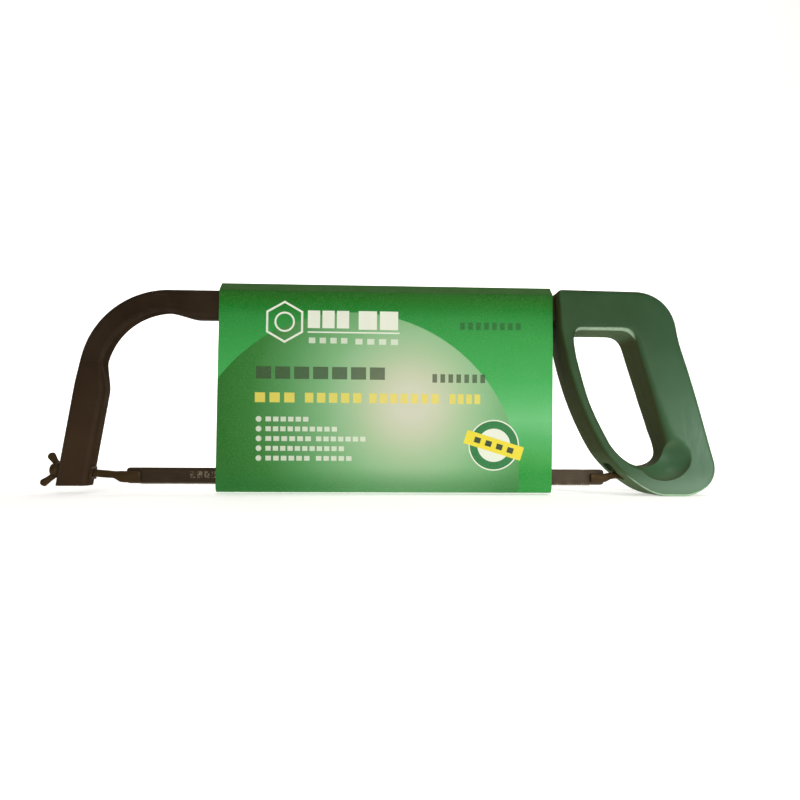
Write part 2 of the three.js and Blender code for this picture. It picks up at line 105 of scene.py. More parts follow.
def apply_modifiers(made):
    bpy.context.view_layer.update()
    evaluated = made.evaluated_get(bpy.context.evaluated_depsgraph_get())
    mesh = bpy.data.meshes.new_from_object(evaluated)
    made.modifiers.clear()
    made.data = mesh


def boolean(made, tools, operation="DIFFERENCE"):
    """Cuts, or joins, helper objects, which are then removed."""
    for tool in tools:
        step = made.modifiers.new("boolean", "BOOLEAN")
        step.operation = operation
        step.solver = "EXACT"
        step.object = tool
    apply_modifiers(made)
    for tool in tools:
        bpy.data.objects.remove(tool)


def bevel(made, width):
    step = made.modifiers.new("bevel", "BEVEL")
    step.width = width * MM
    step.segments = 3
    step.limit_method = "ANGLE"
    step.angle_limit = math.radians(30)
    apply_modifiers(made)


def shade(made, angle):
    """Smooth faces, with creases kept sharp where faces meet at more than `angle` degrees."""
    shape = bmesh.new()
    shape.from_mesh(made.data)
    for face in shape.faces:
        face.smooth = True
    for edge in shape.edges:
        edge.smooth = len(edge.link_faces) == 2 and edge.calc_face_angle(0) < math.radians(angle)
    shape.to_mesh(made.data)
    shape.free()


def finish_piece(made, material, body, slot, nodes, angle=32):
    shade(made, angle)
    made.data.materials.clear()
    made.data.materials.append(material.data)
    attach(made, body)
    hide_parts(*nodes)


def rounded_rect(half_a, half_b, radius, corner_steps, side_steps=1):
    """Points of a rounded rectangle about the origin, anticlockwise from the right side's foot."""
    points = []
    centres = [(1, 1, 0), (-1, 1, 90), (-1, -1, 180), (1, -1, 270)]
    for sign_a, sign_b, start in centres:
        centre_a, centre_b = sign_a * (half_a - radius), sign_b * (half_b - radius)
        for i in range(corner_steps + 1):
            turn = math.radians(start + 90 * i / corner_steps)
            points.append((centre_a + radius * math.cos(turn), centre_b + radius * math.sin(turn)))
    filled = []
    for i, point in enumerate(points):
        filled.append(point)
        if (i + 1) % (corner_steps + 1) == 0:
            after = points[(i + 1) % len(points)]
            for k in range(1, side_steps):
                share = k / side_steps
                filled.append((lerp(point[0], after[0], share), lerp(point[1], after[1], share)))
    return filled


def lathe(name, profile, place, segments=48):
    """A turned piece. The profile runs from axis to axis as (radius, distance). place() sets each point."""
    turns = [2 * math.pi * k / segments for k in range(segments)]
    rings = []
    for radius, run in profile[1:-1]:
        rings.append([place(radius * math.cos(a), radius * math.sin(a), run) for a in turns])
    return skin(name, rings)


def box_object(name, x, y, z):
    corners = [(a, b, c) for a in x for b in y for c in z]
    faces = [(0, 1, 3, 2), (4, 6, 7, 5), (0, 4, 5, 1), (2, 3, 7, 6), (0, 2, 6, 4), (1, 5, 7, 3)]
    return mesh_object(name, corners, faces)


def from_node(node, name):
    """A copy of a CAD node's mesh with its flat faces merged, ready for bevels."""
    made = bpy.data.objects.new(name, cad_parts[node].data.copy())
    bpy.context.scene.collection.objects.link(made)
    shape = bmesh.new()
    shape.from_mesh(made.data)
    bmesh.ops.remove_doubles(shape, verts=shape.verts, dist=1e-6)
    bmesh.ops.dissolve_limit(shape, angle_limit=math.radians(1), verts=shape.verts, edges=shape.edges)
    shape.to_mesh(made.data)
    shape.free()
    return made


# ---------------------------------------------------------------- materials
def linear(red, green, blue):
    """A display colour from 0 to 255 as linear red, green, blue and alpha."""
    shares = [v / 255 for v in (red, green, blue)]
    return tuple(v / 12.92 if v <= 0.04045 else ((v + 0.055) / 1.055) ** 2.4 for v in shares) + (1.0,)


class Material:
    """A node material. Each call adds a node and returns the socket that later calls take."""

    def __init__(self, name):
        self.data = bpy.data.materials.new(name)
        self.data.use_nodes = True
        self.tree = self.data.node_tree
        self.shader = self.tree.nodes["Principled BSDF"]
        self.place = self.node("ShaderNodeTexCoord", output="Object")

    def feed(self, socket, value):
        if isinstance(value, bpy.types.NodeSocket):
            self.tree.links.new(value, socket)
        else:
            socket.default_value = value

    def set(self, socket, value):
        self.feed(self.shader.inputs[socket], value)

    def node(self, kind, inputs=None, output=0, **settings):
        made = self.tree.nodes.new(kind)
        for key, value in settings.items():
            setattr(made, key, value)
        for key, value in (inputs or {}).items():
            self.feed(made.inputs[key], value)
        return made.outputs[output]

    def math(self, operation, *values):
        return self.node("ShaderNodeMath", dict(enumerate(values)), operation=operation)

    def times(self, first, second):
        return self.math("MULTIPLY", first, second)

    def split(self, vector):
        """The three parts of a vector."""
        return self.node("ShaderNodeSeparateXYZ", {0: vector}).node.outputs

    def facing(self):
        """The three parts of the direction that the surface faces."""
        return self.split(self.node("ShaderNodeNewGeometry", output="Normal"))

    def stretched(self, x, y, z):
        """The place in the piece, scaled along each axis, in units of one over a metre."""
        return self.node("ShaderNodeVectorMath", {0: self.place, 1: (x, y, z)}, operation="MULTIPLY")

    def noise(self, scale, detail=3.0, roughness=0.5, vector=None):
        inputs = {"Vector": vector or self.place, "Scale": scale, "Detail": detail, "Roughness": roughness}
        return self.node("ShaderNodeTexNoise", inputs)

    def span(self, value, low, high, to_low=0.0, to_high=1.0):
        inputs = {0: value, 1: low, 2: high, 3: to_low, 4: to_high}
        return self.node("ShaderNodeMapRange", inputs, interpolation_type="SMOOTHSTEP")

    def mix(self, share, first, second):
        inputs = {0: share, 6: first, 7: second}
        return self.node("ShaderNodeMix", inputs, output=2, data_type="RGBA")

    def ramp(self, value, stops):
        """A colour ramp through (place, display colour). The first two stops are its two ends."""
        colour = self.node("ShaderNodeValToRGB", {0: value})
        elements = colour.node.color_ramp.elements
        for i, (at, display) in enumerate(stops):
            element = elements[i] if i < 2 else elements.new(at)
            element.position = at
            element.color = linear(*display)
        return colour

    def bump(self, height, strength, distance, after=None):
        inputs = {"Height": height, "Strength": strength, "Distance": distance}
        if after:
            inputs["Normal"] = after
        return self.node("ShaderNodeBump", inputs)


def design_axes(material):
    """X and Z of a point in the shape code's millimetres."""
    x, _, z = material.split(material.place)
    return material.math("MULTIPLY_ADD", x, 1 / MM, SHIFT_X), material.times(z, 1 / MM)


def worn_edges(material, width):
    """1 on convex edges, 0 elsewhere, broken up by noise."""
    pointed = material.node("ShaderNodeNewGeometry", output="Pointiness")
    edge = material.span(pointed, 0.5 + width, 0.5 + 3 * width)
    patches = material.span(material.noise(260.0, 4.0), 0.45, 0.62)
    return material.times(edge, patches)


def facing_sides(material):
    """1 on faces that look straight out of the saw's two flat sides, 0 on the walls between them."""
    return material.span(material.math("ABSOLUTE", material.facing()[1]), 0.35, 0.85)


def paint_material():
    """Dark brown stoving paint with a slight orange peel, browner towards the foot of the leg."""
    made = Material("frame_paint_mat")
    _, z = design_axes(made)
    cloud = made.noise(38.0, 4.0)
    base = made.mix(made.span(cloud, 0.3, 0.7), linear(40, 29, 18), linear(50, 38, 26))
    lines = made.noise(900.0, 2.0, vector=made.stretched(0.06, 1, 1))
    base = made.mix(made.span(lines, 0.55, 0.8, 0, 0.2), base, linear(74, 58, 42))
    base = made.mix(made.times(worn_edges(made, 0.02), 0.25), base, linear(104, 86, 66))
    base = made.mix(made.span(z, 100.0, 30.0, 0, 0.45), base, linear(70, 51, 33))
    made.set("Base Color", base)
    sides = facing_sides(made)
    made.set("Specular IOR Level", made.math("MULTIPLY_ADD", sides, 0.06, 0.02))
    rough = made.span(made.noise(120.0, 5.0), 0.25, 0.75, 0.36, 0.56)
    made.set("Roughness", made.math("MULTIPLY_ADD", sides, -0.25, made.math("ADD", rough, 0.25)))
    peel = made.noise(1400.0, 2.0)
    waves = made.noise(160.0, 2.0, vector=made.stretched(0.2, 1, 1))
    made.set("Normal", made.bump(peel, 0.18, 0.0002, made.bump(waves, 0.12, 0.0006)))
    return made


def handle_material():
    """Moulded plastic, satin on the two flat sides and matt on the walls between them, with painted light and
    shade.
    """
    made = Material("handle_plastic_mat")
    x, z = design_axes(made)
    sides = facing_sides(made)
    scuffs = made.noise(420.0, 6.0, 0.65, made.stretched(1, 1, 0.25))
    cloud = made.noise(26.0, 5.0, 0.6)
    base = made.mix(made.span(cloud, 0.3, 0.72), linear(42, 69, 38), linear(50, 78, 48))
    speck = made.noise(2600.0, 1.0)
    base = made.mix(made.span(speck, 0.62, 0.8, 0, 0.2), base, linear(72, 102, 76))
    grime = made.span(made.noise(90.0, 6.0, 0.7), 0.55, 0.8, 0, 0.3)
    base = made.mix(grime, base, linear(38, 58, 30))
    # Painted light: the grip is painted lighter towards its right side and towards its foot, where light
    # falls from below right.
    base = made.mix(made.span(x, 155.0, 205.0, 0, 0.4), base, linear(68, 103, 76))
    base = made.mix(made.span(z, 18.0, 3.0, 0, 0.4), base, linear(112, 136, 114))
    # Painted shade and reflection: the walls between the flat sides are painted a dark brownish green.
    painted_wall_shade = made.math("MULTIPLY_ADD", sides, -0.65, 0.65)
    base = made.mix(painted_wall_shade, base, linear(68, 64, 35))
    facing = made.facing()
    downward = made.times(facing[2], -1.0)
    # Painted light: faces that look downwards are painted a lighter olive, as if lit from below.
    base = made.mix(made.span(downward, 0.45, 0.85), base, linear(82, 102, 70))
    # Painted highlight: the rounded lower edges at the foot and over the opening are painted pale, broken up
    # by the scuffs noise.
    rounded = made.math("ABSOLUTE", facing[1])
    painted_rim_highlight = made.times(made.span(downward, 0.35, 0.6), made.span(rounded, 0.3, 0.5))
    painted_rim_highlight = made.times(painted_rim_highlight, made.span(scuffs, 0.25, 0.6, 0.55, 0.9))
    foot_or_top = made.math("ADD", made.span(z, 15.0, 9.0), made.span(z, 96.0, 101.0))
    painted_rim_highlight = made.times(painted_rim_highlight, foot_or_top)
    base = made.mix(painted_rim_highlight, base, linear(160, 184, 158))
    made.set("Base Color", base)
    made.set("Specular IOR Level", made.math("MULTIPLY_ADD", sides, 0.12, 0.02))
    rough = made.span(scuffs, 0.25, 0.78, 0.34, 0.48)
    made.set("Roughness", made.math("MULTIPLY_ADD", sides, -0.3, made.math("ADD", rough, 0.3)))
    grain = made.noise(3200.0, 2.0)
    sink = made.noise(70.0, 2.0)
    made.set("Normal", made.bump(grain, 0.2, 0.0001, made.bump(sink, 0.2, 0.0006)))
    return made


def steel_material(name, dark, light, roughness, metallic=0.85, wear=0.3, gloss=0.5):
    """Drawn or ground steel with fine lines along X."""
    made = Material(name)
    lines = made.noise(2400.0, 3.0, 0.6, made.stretched(0.04, 1, 1))
    stain = made.noise(150.0, 5.0, 0.6)
    share = made.times(made.span(lines, 0.3, 0.75), made.span(stain, 0.25, 0.7, 0.35, 1.0))
    base = made.mix(share, dark, light)
    bright = made.mix(0.55, light, (0.6, 0.56, 0.5, 1.0))
    made.set("Base Color", made.mix(made.times(worn_edges(made, 0.02), wear), base, bright))
    made.set("Metallic", metallic)
    made.set("Specular IOR Level", gloss)
    made.set("Roughness", made.span(stain, 0.3, 0.7, roughness - 0.07, roughness + 0.1))
    made.set("Normal", made.bump(lines, 0.12, 0.00008, made.bump(stain, 0.1, 0.0002)))
    return made


def blade_material():
    """Blued strip with lengthwise grinding lines, brighter tooth tips and a row of plain etched marks."""
    made = Material("blade_steel_mat")
    x, z = design_axes(made)
    lines = made.noise(3000.0, 3.0, 0.6, made.stretched(0.02, 1, 1))
    stain = made.noise(60.0, 5.0, 0.6)
    base = made.mix(made.span(lines, 0.3, 0.7), linear(44, 31, 16), linear(60, 47, 30))
    base = made.mix(made.span(stain, 0.4, 0.7, 0, 0.5), base, linear(52, 38, 22))
    # Painted light: the blade is painted lighter towards its right end, where the light falls.
    base = made.mix(made.span(x, -60.0, 120.0, 0.0, 0.35), base, linear(60, 50, 32))
    tips = made.span(z, 7.6, 6.0)
    base = made.mix(made.times(tips, 0.6), base, linear(128, 116, 98))
    marks = row_mask(made, x, z, (-112.0, -91.0), (10.0, 14.2), 5, 0.3)
    broken = made.span(made.noise(900.0, 3.0), 0.4, 0.6)
    base = made.mix(made.times(made.times(marks, broken), 0.75), base, linear(140, 126, 106))
    made.set("Base Color", base)
    made.set("Metallic", 0.25)
    made.set("Specular IOR Level", 0.2)
    made.set("Roughness", made.span(stain, 0.3, 0.7, 0.36, 0.52))
    made.set("Normal", made.bump(lines, 0.15, 0.00006))
    return made


def plug_material():
    made = Material("plug_plastic_mat")
    cloud = made.span(made.noise(300.0), 0.3, 0.7)
    made.set("Base Color", made.mix(cloud, linear(26, 25, 24), linear(40, 38, 36)))
    made.set("Roughness", made.span(made.noise(500.0, 4.0), 0.3, 0.7, 0.5, 0.7))
    made.set("Normal", made.bump(made.noise(2500.0), 0.25, 0.0001))
    return made


# ---------------------------------------------------------------- the print on the card
PRINT_WHITE = linear(232, 236, 220)
PRINT_DARK = linear(52, 66, 44)
PRINT_YELLOW = linear(234, 216, 92)
DISC_AT, DISC_R = (-8.0, 9.5), 106.0
GLOW_AT, GLOW_REACH = (28.0, 58.0), 120.0
NUT_ICON_AT, BADGE_AT = (-51.5, 109.0), (81.5, 32.0)
MIRROR_SUM = 26.5  # an X on the near side and the X that carries its print on the far side add up to this

# Rows of printed blocks, each as (x range, z range, blocks, gap).
TITLE_ROWS = [((-37.0, -11.0), (105.2, 116.4), 3, 0.16), ((-5.0, 20.0), (104.6, 116.4), 2, 0.14)]
SMALL_ROWS = [((-36.2, -12.0), (95.6, 99.2), 4, 0.4), ((-7.0, 20.0), (95.2, 98.8), 4, 0.4)]
DARK_ROWS = [((-69.2, 11.8), (73.0, 80.8), 7, 0.2), ((42.0, 75.6), (71.6, 77.0), 7, 0.42)]
YELLOW_WORDS = [((-69.8, -45.0), 3), ((-38.5, -3.0), 5), ((2.0, 46.0), 7), ((53.0, 72.6), 4)]
YELLOW_ROWS = [(x_range, (58.2, 64.4), count, 0.3) for x_range, count in YELLOW_WORDS]
FEATURE_Z = [47.7 - 6.15 * i for i in range(5)]
BULLET_X, BULLET_R, FEATURE_HALF, FEATURE_PITCH = -67.3, 1.8, 1.5, 4.4


def inside(material, value, low, high):
    return material.math("COMPARE", value, (low + high) / 2, (high - low) / 2)


def box_mask(material, x, z, x_range, z_range):
    return material.times(inside(material, x, *x_range), inside(material, z, *z_range))


def row_mask(material, x, z, x_range, z_range, count, gap):
    """A row of equal blocks, each followed by a gap, which is a share of a block and its gap."""
    pitch = (x_range[1] - x_range[0]) / (count - gap)
    along = material.math("DIVIDE", material.math("SUBTRACT", x, x_range[0]), pitch)
    block = material.math("LESS_THAN", material.math("FRACT", along), 1 - gap)
    return material.times(box_mask(material, x, z, x_range, z_range), block)


def from_centre(material, x, z, centre):
    return material.math("SUBTRACT", x, centre[0]), material.math("SUBTRACT", z, centre[1])


def distance(material, x, z, centre):
    dx, dz = from_centre(material, x, z, centre)
    squares = material.math("ADD", material.times(dx, dx), material.times(dz, dz))
    return material.math("SQRT", squares)


def either(material, masks):
    total = masks[0]
    for mask in masks[1:]:
        total = material.math("MAXIMUM", total, mask)
    return total


def turned(material, x, z, centre, degrees):
    """X and Z counted from a centre along axes turned anticlockwise."""
    cos, sin = math.cos(math.radians(degrees)), math.sin(math.radians(degrees))
    dx, dz = from_centre(material, x, z, centre)
    along = material.math("MULTIPLY_ADD", dx, cos, material.times(dz, sin))
    across = material.math("MULTIPLY_ADD", dz, cos, material.times(dx, -sin))
    return along, across


def background_print(made, x, z):
    """Green with a painted highlight band and painted shade at the folds, behind a large disc that glows at
    its middle.
    """
    height = made.span(z, 2.0, 130.0)
    height.node.interpolation_type = "LINEAR"
    # The change with height is partly the print's own gradient and partly painted light: a painted highlight
    # band at about z 48, and painted shade towards the top and bottom folds.
    field = made.ramp(height, [
        (0.0, (38, 146, 58)), (1.0, (6, 85, 0)), (0.09, (28, 144, 53)),
        (0.17, (58, 159, 68)), (0.27, (76, 173, 96)), (0.36, (103, 189, 119)),
        (0.46, (78, 179, 99)), (0.56, (58, 167, 81)), (0.75, (45, 154, 66)),
        (0.86, (28, 138, 53)), (0.91, (0, 119, 28)), (0.95, (0, 105, 0)),
    ])
    glow = made.math("DIVIDE", distance(made, x, z, GLOW_AT), GLOW_REACH)
    disc = made.ramp(glow, [
        (0.0, (208, 210, 189)), (1.0, (31, 109, 31)), (0.08, (208, 210, 189)),
        (0.16, (198, 205, 176)), (0.28, (169, 197, 155)), (0.37, (148, 189, 143)),
        (0.46, (124, 178, 124)), (0.66, (82, 149, 85)), (0.84, (47, 122, 46)),
    ])
    # Painted shade: the disc darkens towards the sleeve's lower fold.
    disc = made.mix(made.span(z, 20.0, 4.0, 0.0, 0.45), disc, linear(0, 108, 40))
    edge = made.span(distance(made, x, z, DISC_AT), DISC_R + 0.25, DISC_R - 0.25)
    return made.mix(edge, field, disc)


def nut_icon(made, x, z):
    """A plain outline of a hexagonal nut with a round hole."""
    across = []
    for degrees in (0, 60, 120):
        along, _ = turned(made, x, z, NUT_ICON_AT, degrees)
        across.append(made.math("ABSOLUTE", along))
    outline = inside(made, either(made, across), 10.3, 11.6)
    hole = inside(made, distance(made, x, z, NUT_ICON_AT), 5.2, 6.4)
    return either(made, [outline, hole])


def badge_print(made, base, x, z):
    """A plain round badge with a band across it."""
    radius = distance(made, x, z, BADGE_AT)
    base = made.mix(made.math("LESS_THAN", radius, 16.2), base, PRINT_WHITE)
    base = made.mix(inside(made, radius, 10.6, 15.4), base, linear(40, 122, 66))
    along, across = turned(made, x, z, BADGE_AT, -17)
    band = box_mask(made, along, across, (-19.0, 19.0), (-4.4, 4.4))
    base = made.mix(band, base, linear(236, 218, 56))
    dots = row_mask(made, along, across, (-13.0, 13.0), (-1.8, 1.8), 4, 0.45)
    return made.mix(dots, base, PRINT_DARK)


def feature_lines():
    """Five short lines of blocks, each as (x range, z range, blocks, gap)."""
    spans = [[(-63.0, -36.2)], [(-63.0, -18.3)], [(-63.0, -34.6), (-31.4, -0.3)], [(-63.0, -13.8)]]
    spans.append([(-63.0, -35.4), (-31.4, -9.0)])
    for middle, parts in zip(FEATURE_Z, spans):
        for low, high in parts:
            z_range = (middle - FEATURE_HALF, middle + FEATURE_HALF)
            yield (low, high), z_range, max(2, round((high - low) / FEATURE_PITCH)), 0.28


def printed_marks(made, base, x, z):
    """Rows of plain blocks where a label's words would be."""
    bullets = [made.math("LESS_THAN", distance(made, x, z, (BULLET_X, at)), BULLET_R) for at in FEATURE_Z]
    underline = box_mask(made, x, z, (-37.0, 21.0), (102.2, 103.1))
    for strength, display, rows, others in (
        (1.0, PRINT_WHITE, TITLE_ROWS, [underline, nut_icon(made, x, z)]),
        (0.7, PRINT_WHITE, SMALL_ROWS, []),
        (0.8, PRINT_DARK, DARK_ROWS, []),
        (0.7, linear(30, 84, 40), [((59.6, 98.4), (105.6, 110.2), 8, 0.4)], []),
        (0.85, PRINT_YELLOW, YELLOW_ROWS, []),
        (0.75, PRINT_WHITE, feature_lines(), bullets),
    ):
        blocks = [row_mask(made, x, z, *row) for row in rows]
        base = made.mix(made.times(either(made, blocks + others), strength), base, display)
    return badge_print(made, base, x, z)


def card_material():
    made = Material("printed_card_mat")
    x, z = design_axes(made)
    far = made.math("GREATER_THAN", made.split(made.place)[1], 0.0)
    mirrored = made.math("SUBTRACT", MIRROR_SUM, x)
    side_x = made.math("ADD", x, made.times(far, made.math("SUBTRACT", mirrored, x)))
    base = printed_marks(made, background_print(made, side_x, z), side_x, z)
    # Painted shade: the top fold is painted dark olive, with the brownish tint of a painted reflection.
    base = made.mix(made.span(z, 128.0, 129.5, 0.0, 0.6), base, linear(42, 94, 8))
    fibres = made.noise(1600.0, 4.0, 0.6)
    base = made.mix(made.span(fibres, 0.3, 0.7, 0.0, 0.06), base, linear(210, 220, 190))
    made.set("Base Color", base)
    made.set("Roughness", made.span(made.noise(90.0, 4.0), 0.3, 0.7, 0.4, 0.52))
    made.set("Specular IOR Level", 0.12)
    buckles = made.bump(made.noise(45.0, 2.0), 0.18, 0.0012)
    made.set("Normal", made.bump(fibres, 0.08, 0.0001, buckles))
    return made


def card_edge_material():
    made = Material("card_edge_mat")
    layers = made.noise(2200.0, 3.0)
    share = made.span(layers, 0.3, 0.7)
    made.set("Base Color", made.mix(share, linear(176, 178, 160), linear(206, 206, 190)))
    made.set("Roughness", 0.85)
    made.set("Normal", made.bump(layers, 0.4, 0.0001))
    return made


# ---------------------------------------------------------------- frame tube
TUBE_THICK, TUBE_TALL, BEND_TALL, LEG_TALL, LEG_FLARE = 13.0, 18.2, 14.2, 19.8, 1.0
TUBE_CORNER_R, TUBE_WALL, TUBE_TOP, TUBE_END_X = 3.6, 1.2, 129.3, 168.0
TROUGH_DEPTH, DENT_DEPTH, TUBE_LIP = 2.0, 0.35, 0.3
BEND_X, BEND_OUTER_R, BEND_ANGLE = -124.2, 56.7, math.radians(80)
LEG_BOTTOM = 5.0
STRAIGHT = TUBE_END_X - BEND_X
BEND_LENGTH = BEND_OUTER_R * BEND_ANGLE
BEND_END = STRAIGHT + BEND_LENGTH


def outer_edge(s):
    """The tube's outer edge at length s from its end in the handle: its point, and the way that it faces."""
    if s < STRAIGHT:
        return TUBE_END_X - s, TUBE_TOP, 0.0, 1.0
    angle = min((s - STRAIGHT) / BEND_OUTER_R, BEND_ANGLE)
    along = max(s - BEND_END, 0.0)
    out_x, out_z = -math.sin(angle), math.cos(angle)
    x = BEND_X + BEND_OUTER_R * out_x - along * out_z
    return x, TUBE_TOP - BEND_OUTER_R + BEND_OUTER_R * out_z + along * out_x, out_x, out_z


def tube_ring(s, inset, section):
    """The tube's section at length s. The bend presses a trough in the inner side and dents the sides."""
    x, z, out_x, out_z = outer_edge(s)
    squeezed = smoothstep(s, STRAIGHT - 18, STRAIGHT + 4)
    flared = smoothstep(s, BEND_END - 6, BEND_END + 16)
    tall = lerp(lerp(TUBE_TALL, BEND_TALL, squeezed), LEG_TALL, flared)
    bend = squeezed * (1 - flared)
    half = TUBE_THICK / 2
    ring = []
    for across, up in section:
        depth = (TUBE_TALL / 2 - up) / TUBE_TALL
        trough = TROUGH_DEPTH * bend * max(1 - (across / (half - 1.6)) ** 2, 0) * smoothstep(depth, 0.75, 1.0)
        on_side = abs(across) > half - 2 - inset
        dent = DENT_DEPTH * bend * (1 - (2 * depth - 1) ** 2) * on_side
        offset = LEG_FLARE * flared - depth * tall + trough
        side = across - math.copysign(dent, across)
        ring.append((x + offset * out_x, side, z + offset * out_z))
    return ring


def cut_ring(s, inset, section, height):
    """The section carried down the leg to a level plane."""
    carried = []
    drop = -math.sin(BEND_ANGLE)
    step = -math.cos(BEND_ANGLE)
    for px, py, pz in tube_ring(s, inset, section):
        run = (height - pz) / drop
        carried.append((px + run * step, py, height))
    return carried


def tube_section(inset):
    half_thick, half_tall = TUBE_THICK / 2 - inset, TUBE_TALL / 2 - inset
    return rounded_rect(half_thick, half_tall, max(TUBE_CORNER_R - inset, 0.4), 7, 8)


def tube_side(inset, lip):
    """Rings of one wall of the tube, from its end in the handle to the foot of the leg."""
    section = tube_section(inset)
    stations = [0.0, 60.0, 120.0, 180.0, 230.0]
    bent = np.linspace(STRAIGHT - 22, BEND_END + 20, 130)
    rings = [tube_ring(s, inset, section) for s in [*stations, *bent]]
    leg_start = BEND_END + 20.5
    rings += [tube_ring(leg_start + run, inset, section) for run in np.linspace(2, 42, 14)]
    rings += [cut_ring(leg_start, inset, section, LEG_BOTTOM + rise) for rise in (2.2, 1.4, 0.8, lip)]
    end_section = tube_section(inset + math.copysign(lip, TUBE_WALL / 2 - inset))
    rings.append(cut_ring(leg_start, inset, end_section, LEG_BOTTOM))
    return rings


def frame_tube(material):
    """The tube with the hole for the guide through its leg and the hole for the retaining pin."""
    rings = tube_side(0.0, TUBE_LIP) + tube_side(TUBE_WALL, TUBE_LIP)[::-1]
    made = skin("frame_tube_painted", rings, loop=True)
    hole = along_bolt_box("guide_hole", (-50, 0), GUIDE_OUTER / 2 + 0.15)
    boolean(made, [hole, cross_bore(RETAINING_PIN_AT, RETAINING_PIN_R + 0.12, -20, 20, 32)])
    finish_piece(made, material, "frame", "frame_paint", ["frame_tube"], 40)


# ---------------------------------------------------------------- tension gear
AXIS_X, AXIS_Z, AXIS_TILT = -160.0, 11.95, math.radians(4.5)
SHANK, THREAD_R, THREAD_PITCH, THREAD_DEPTH, END_TAPER = 4.6, 2.5, 0.8, 0.42, 0.5
THREAD_START_U, BOLT_END_U = -27.0, -39.6
GUIDE_OUTER = 8.0
WASHER_R, WASHER_THICK, WASHER_U = 4.8, 0.7, -35.1
NUT_SEAT_U = WASHER_U - 0.2
# A wing's centre line, as (along the bolt, out from it), and the length of the rounding past its tip.
WING_ROOT, WING_TIP, WING_ROUND = (-1.4, 4.1), (-6.1, 9.1), 2.0
NUT_AT_REST = math.radians(-22)

# Places of the pins and of the rear anchor's stem, as X and Z.
BLADE_Z, STEM_Z = 11.2, 12.6
FRONT_PIN_AT, REAR_PIN_AT = (-148.0, BLADE_Z), (152.0, BLADE_Z)
CROSS_PIN_AT, RETAINING_PIN_AT = (185.8, STEM_Z), (150.0, 120.2)
BLADE_PIN_R, CROSS_PIN_R, RETAINING_PIN_R = 1.6, 1.5, 2.0


def along_bolt(u, across, up):
    """A point given along the tension bolt's axis, which falls a little towards the blade."""
    x = AXIS_X + u * math.cos(AXIS_TILT) + up * math.sin(AXIS_TILT)
    return (x, across, AXIS_Z - u * math.sin(AXIS_TILT) + up * math.cos(AXIS_TILT))


def along_bolt_box(name, u, half):
    """A square bar along the bolt's axis, between the two places in u."""
    rings = [[along_bolt(v, a * half, b * half) for a, b in ((-1, -1), (1, -1), (1, 1), (-1, 1))] for v in u]
    return skin(name, rings)


def across_at(x, z):
    """A placing for turned pieces whose axis runs across the saw."""
    return lambda a, b, y: (x + a, y, z + b)


def turned_on_x(a, b, x):
    """A placing for turned pieces whose axis is X itself."""
    return (x, a, b)


def turned_on_bolt(a, b, u):
    return along_bolt(u, a, b)


def pin_profile(radius, low, high, chamfer=0.0):
    """A plain or chamfered pin's profile, ready for lathe()."""
    inner = radius - chamfer
    if not chamfer:
        return [(0, low), (radius, low), (radius, high), (0, high)]
    near, far = low + chamfer, high - chamfer
    return [(0, low), (inner, low), (radius, near), (radius, far), (inner, high), (0, high)]


def cross_bore(at, radius, low, high, segments=48):
    """A cutter for a round hole across the saw, from low to high."""
    return lathe("bore", pin_profile(radius, low, high), across_at(*at), segments)


def as_given(x, y, z):
    return (x, y, z)


def bar_ring(x, y, z, radius, place=as_given):
    """A rounded rectangle across X, from its ranges in Y and Z."""
    section = rounded_rect((y[1] - y[0]) / 2, (z[1] - z[0]) / 2, radius, 5)
    mid_y, mid_z = (y[0] + y[1]) / 2, (z[0] + z[1]) / 2
    return [place(x, mid_y + a, mid_z + b) for a, b in section]


def forged_rings(listed):
    """Rings of a forged bar through rows of (x, near y, far y, low z, high z, corner radius)."""
    return [bar_ring(x, (y0, y1), (z0, z1), min(r, (y1 - y0) / 2 - 0.01)) for x, y0, y1, z0, z1, r in listed]


def thread_rings(around):
    """A screw thread as rings along the bolt, the crest turning once in a pitch."""
    rings = []
    for u in np.arange(BOLT_END_U, THREAD_START_U, 0.1):
        end_taper = END_TAPER * (1 - smoothstep(u, BOLT_END_U, BOLT_END_U + THREAD_PITCH))
        ring = []
        for k in range(around):
            turn = k / around
            phase = (u / THREAD_PITCH - turn) % 1.0
            depth = THREAD_DEPTH * smoothstep(abs(2 * phase - 1), 0.15, 0.95)
            radius = THREAD_R - depth - end_taper
            angle = 2 * math.pi * turn
            ring.append(along_bolt(u, radius * math.cos(angle), radius * math.sin(angle)))
        rings.append(ring)
    return rings


def tension_bolt(material):
    """The threaded end, the square shank and the paddle that is forged flat beside the blade."""
    thread = skin("thread", thread_rings(36))
    side = (-SHANK / 2, SHANK / 2)
    rings = [bar_ring(u, side, side, 0.7, along_bolt) for u in (THREAD_START_U - 0.05, -20, -3.0)]
    paddle = [
        (-161.5, -2.3, 2.25, 9.85, 14.3, 0.8),
        (-160.0, -2.3, 2.0, 9.7, 14.2, 0.9),
        (-158.6, -2.3, 1.2, 9.2, 14.1, 0.9),
        (-157.4, -2.3, 0.1, 8.4, 14.2, 0.8),
        (-156.2, -2.3, -0.5, 7.6, 14.3, 0.7),
        (-155.0, -2.3, -0.65, 7.2, 14.35, 0.6),
        (-152.0, -2.3, -0.65, 7.0, 14.3, 0.5),
        (-144.6, -2.3, -0.65, 7.0, 14.3, 0.5),
        (-143.4, -2.25, -0.65, 7.3, 14.0, 0.5),
        (-142.9, -2.0, -0.8, 7.9, 13.4, 0.45),
    ]
    made = skin("tension_bolt_forged", rings + forged_rings(paddle))
    boolean(made, [thread], "UNION")
    boolean(made, [cross_bore(FRONT_PIN_AT, BLADE_PIN_R + 0.02, -1.95, 5, 32)])
    finish_piece(made, material, "blade_train", "hardware_steel", ["tension_bolt"])


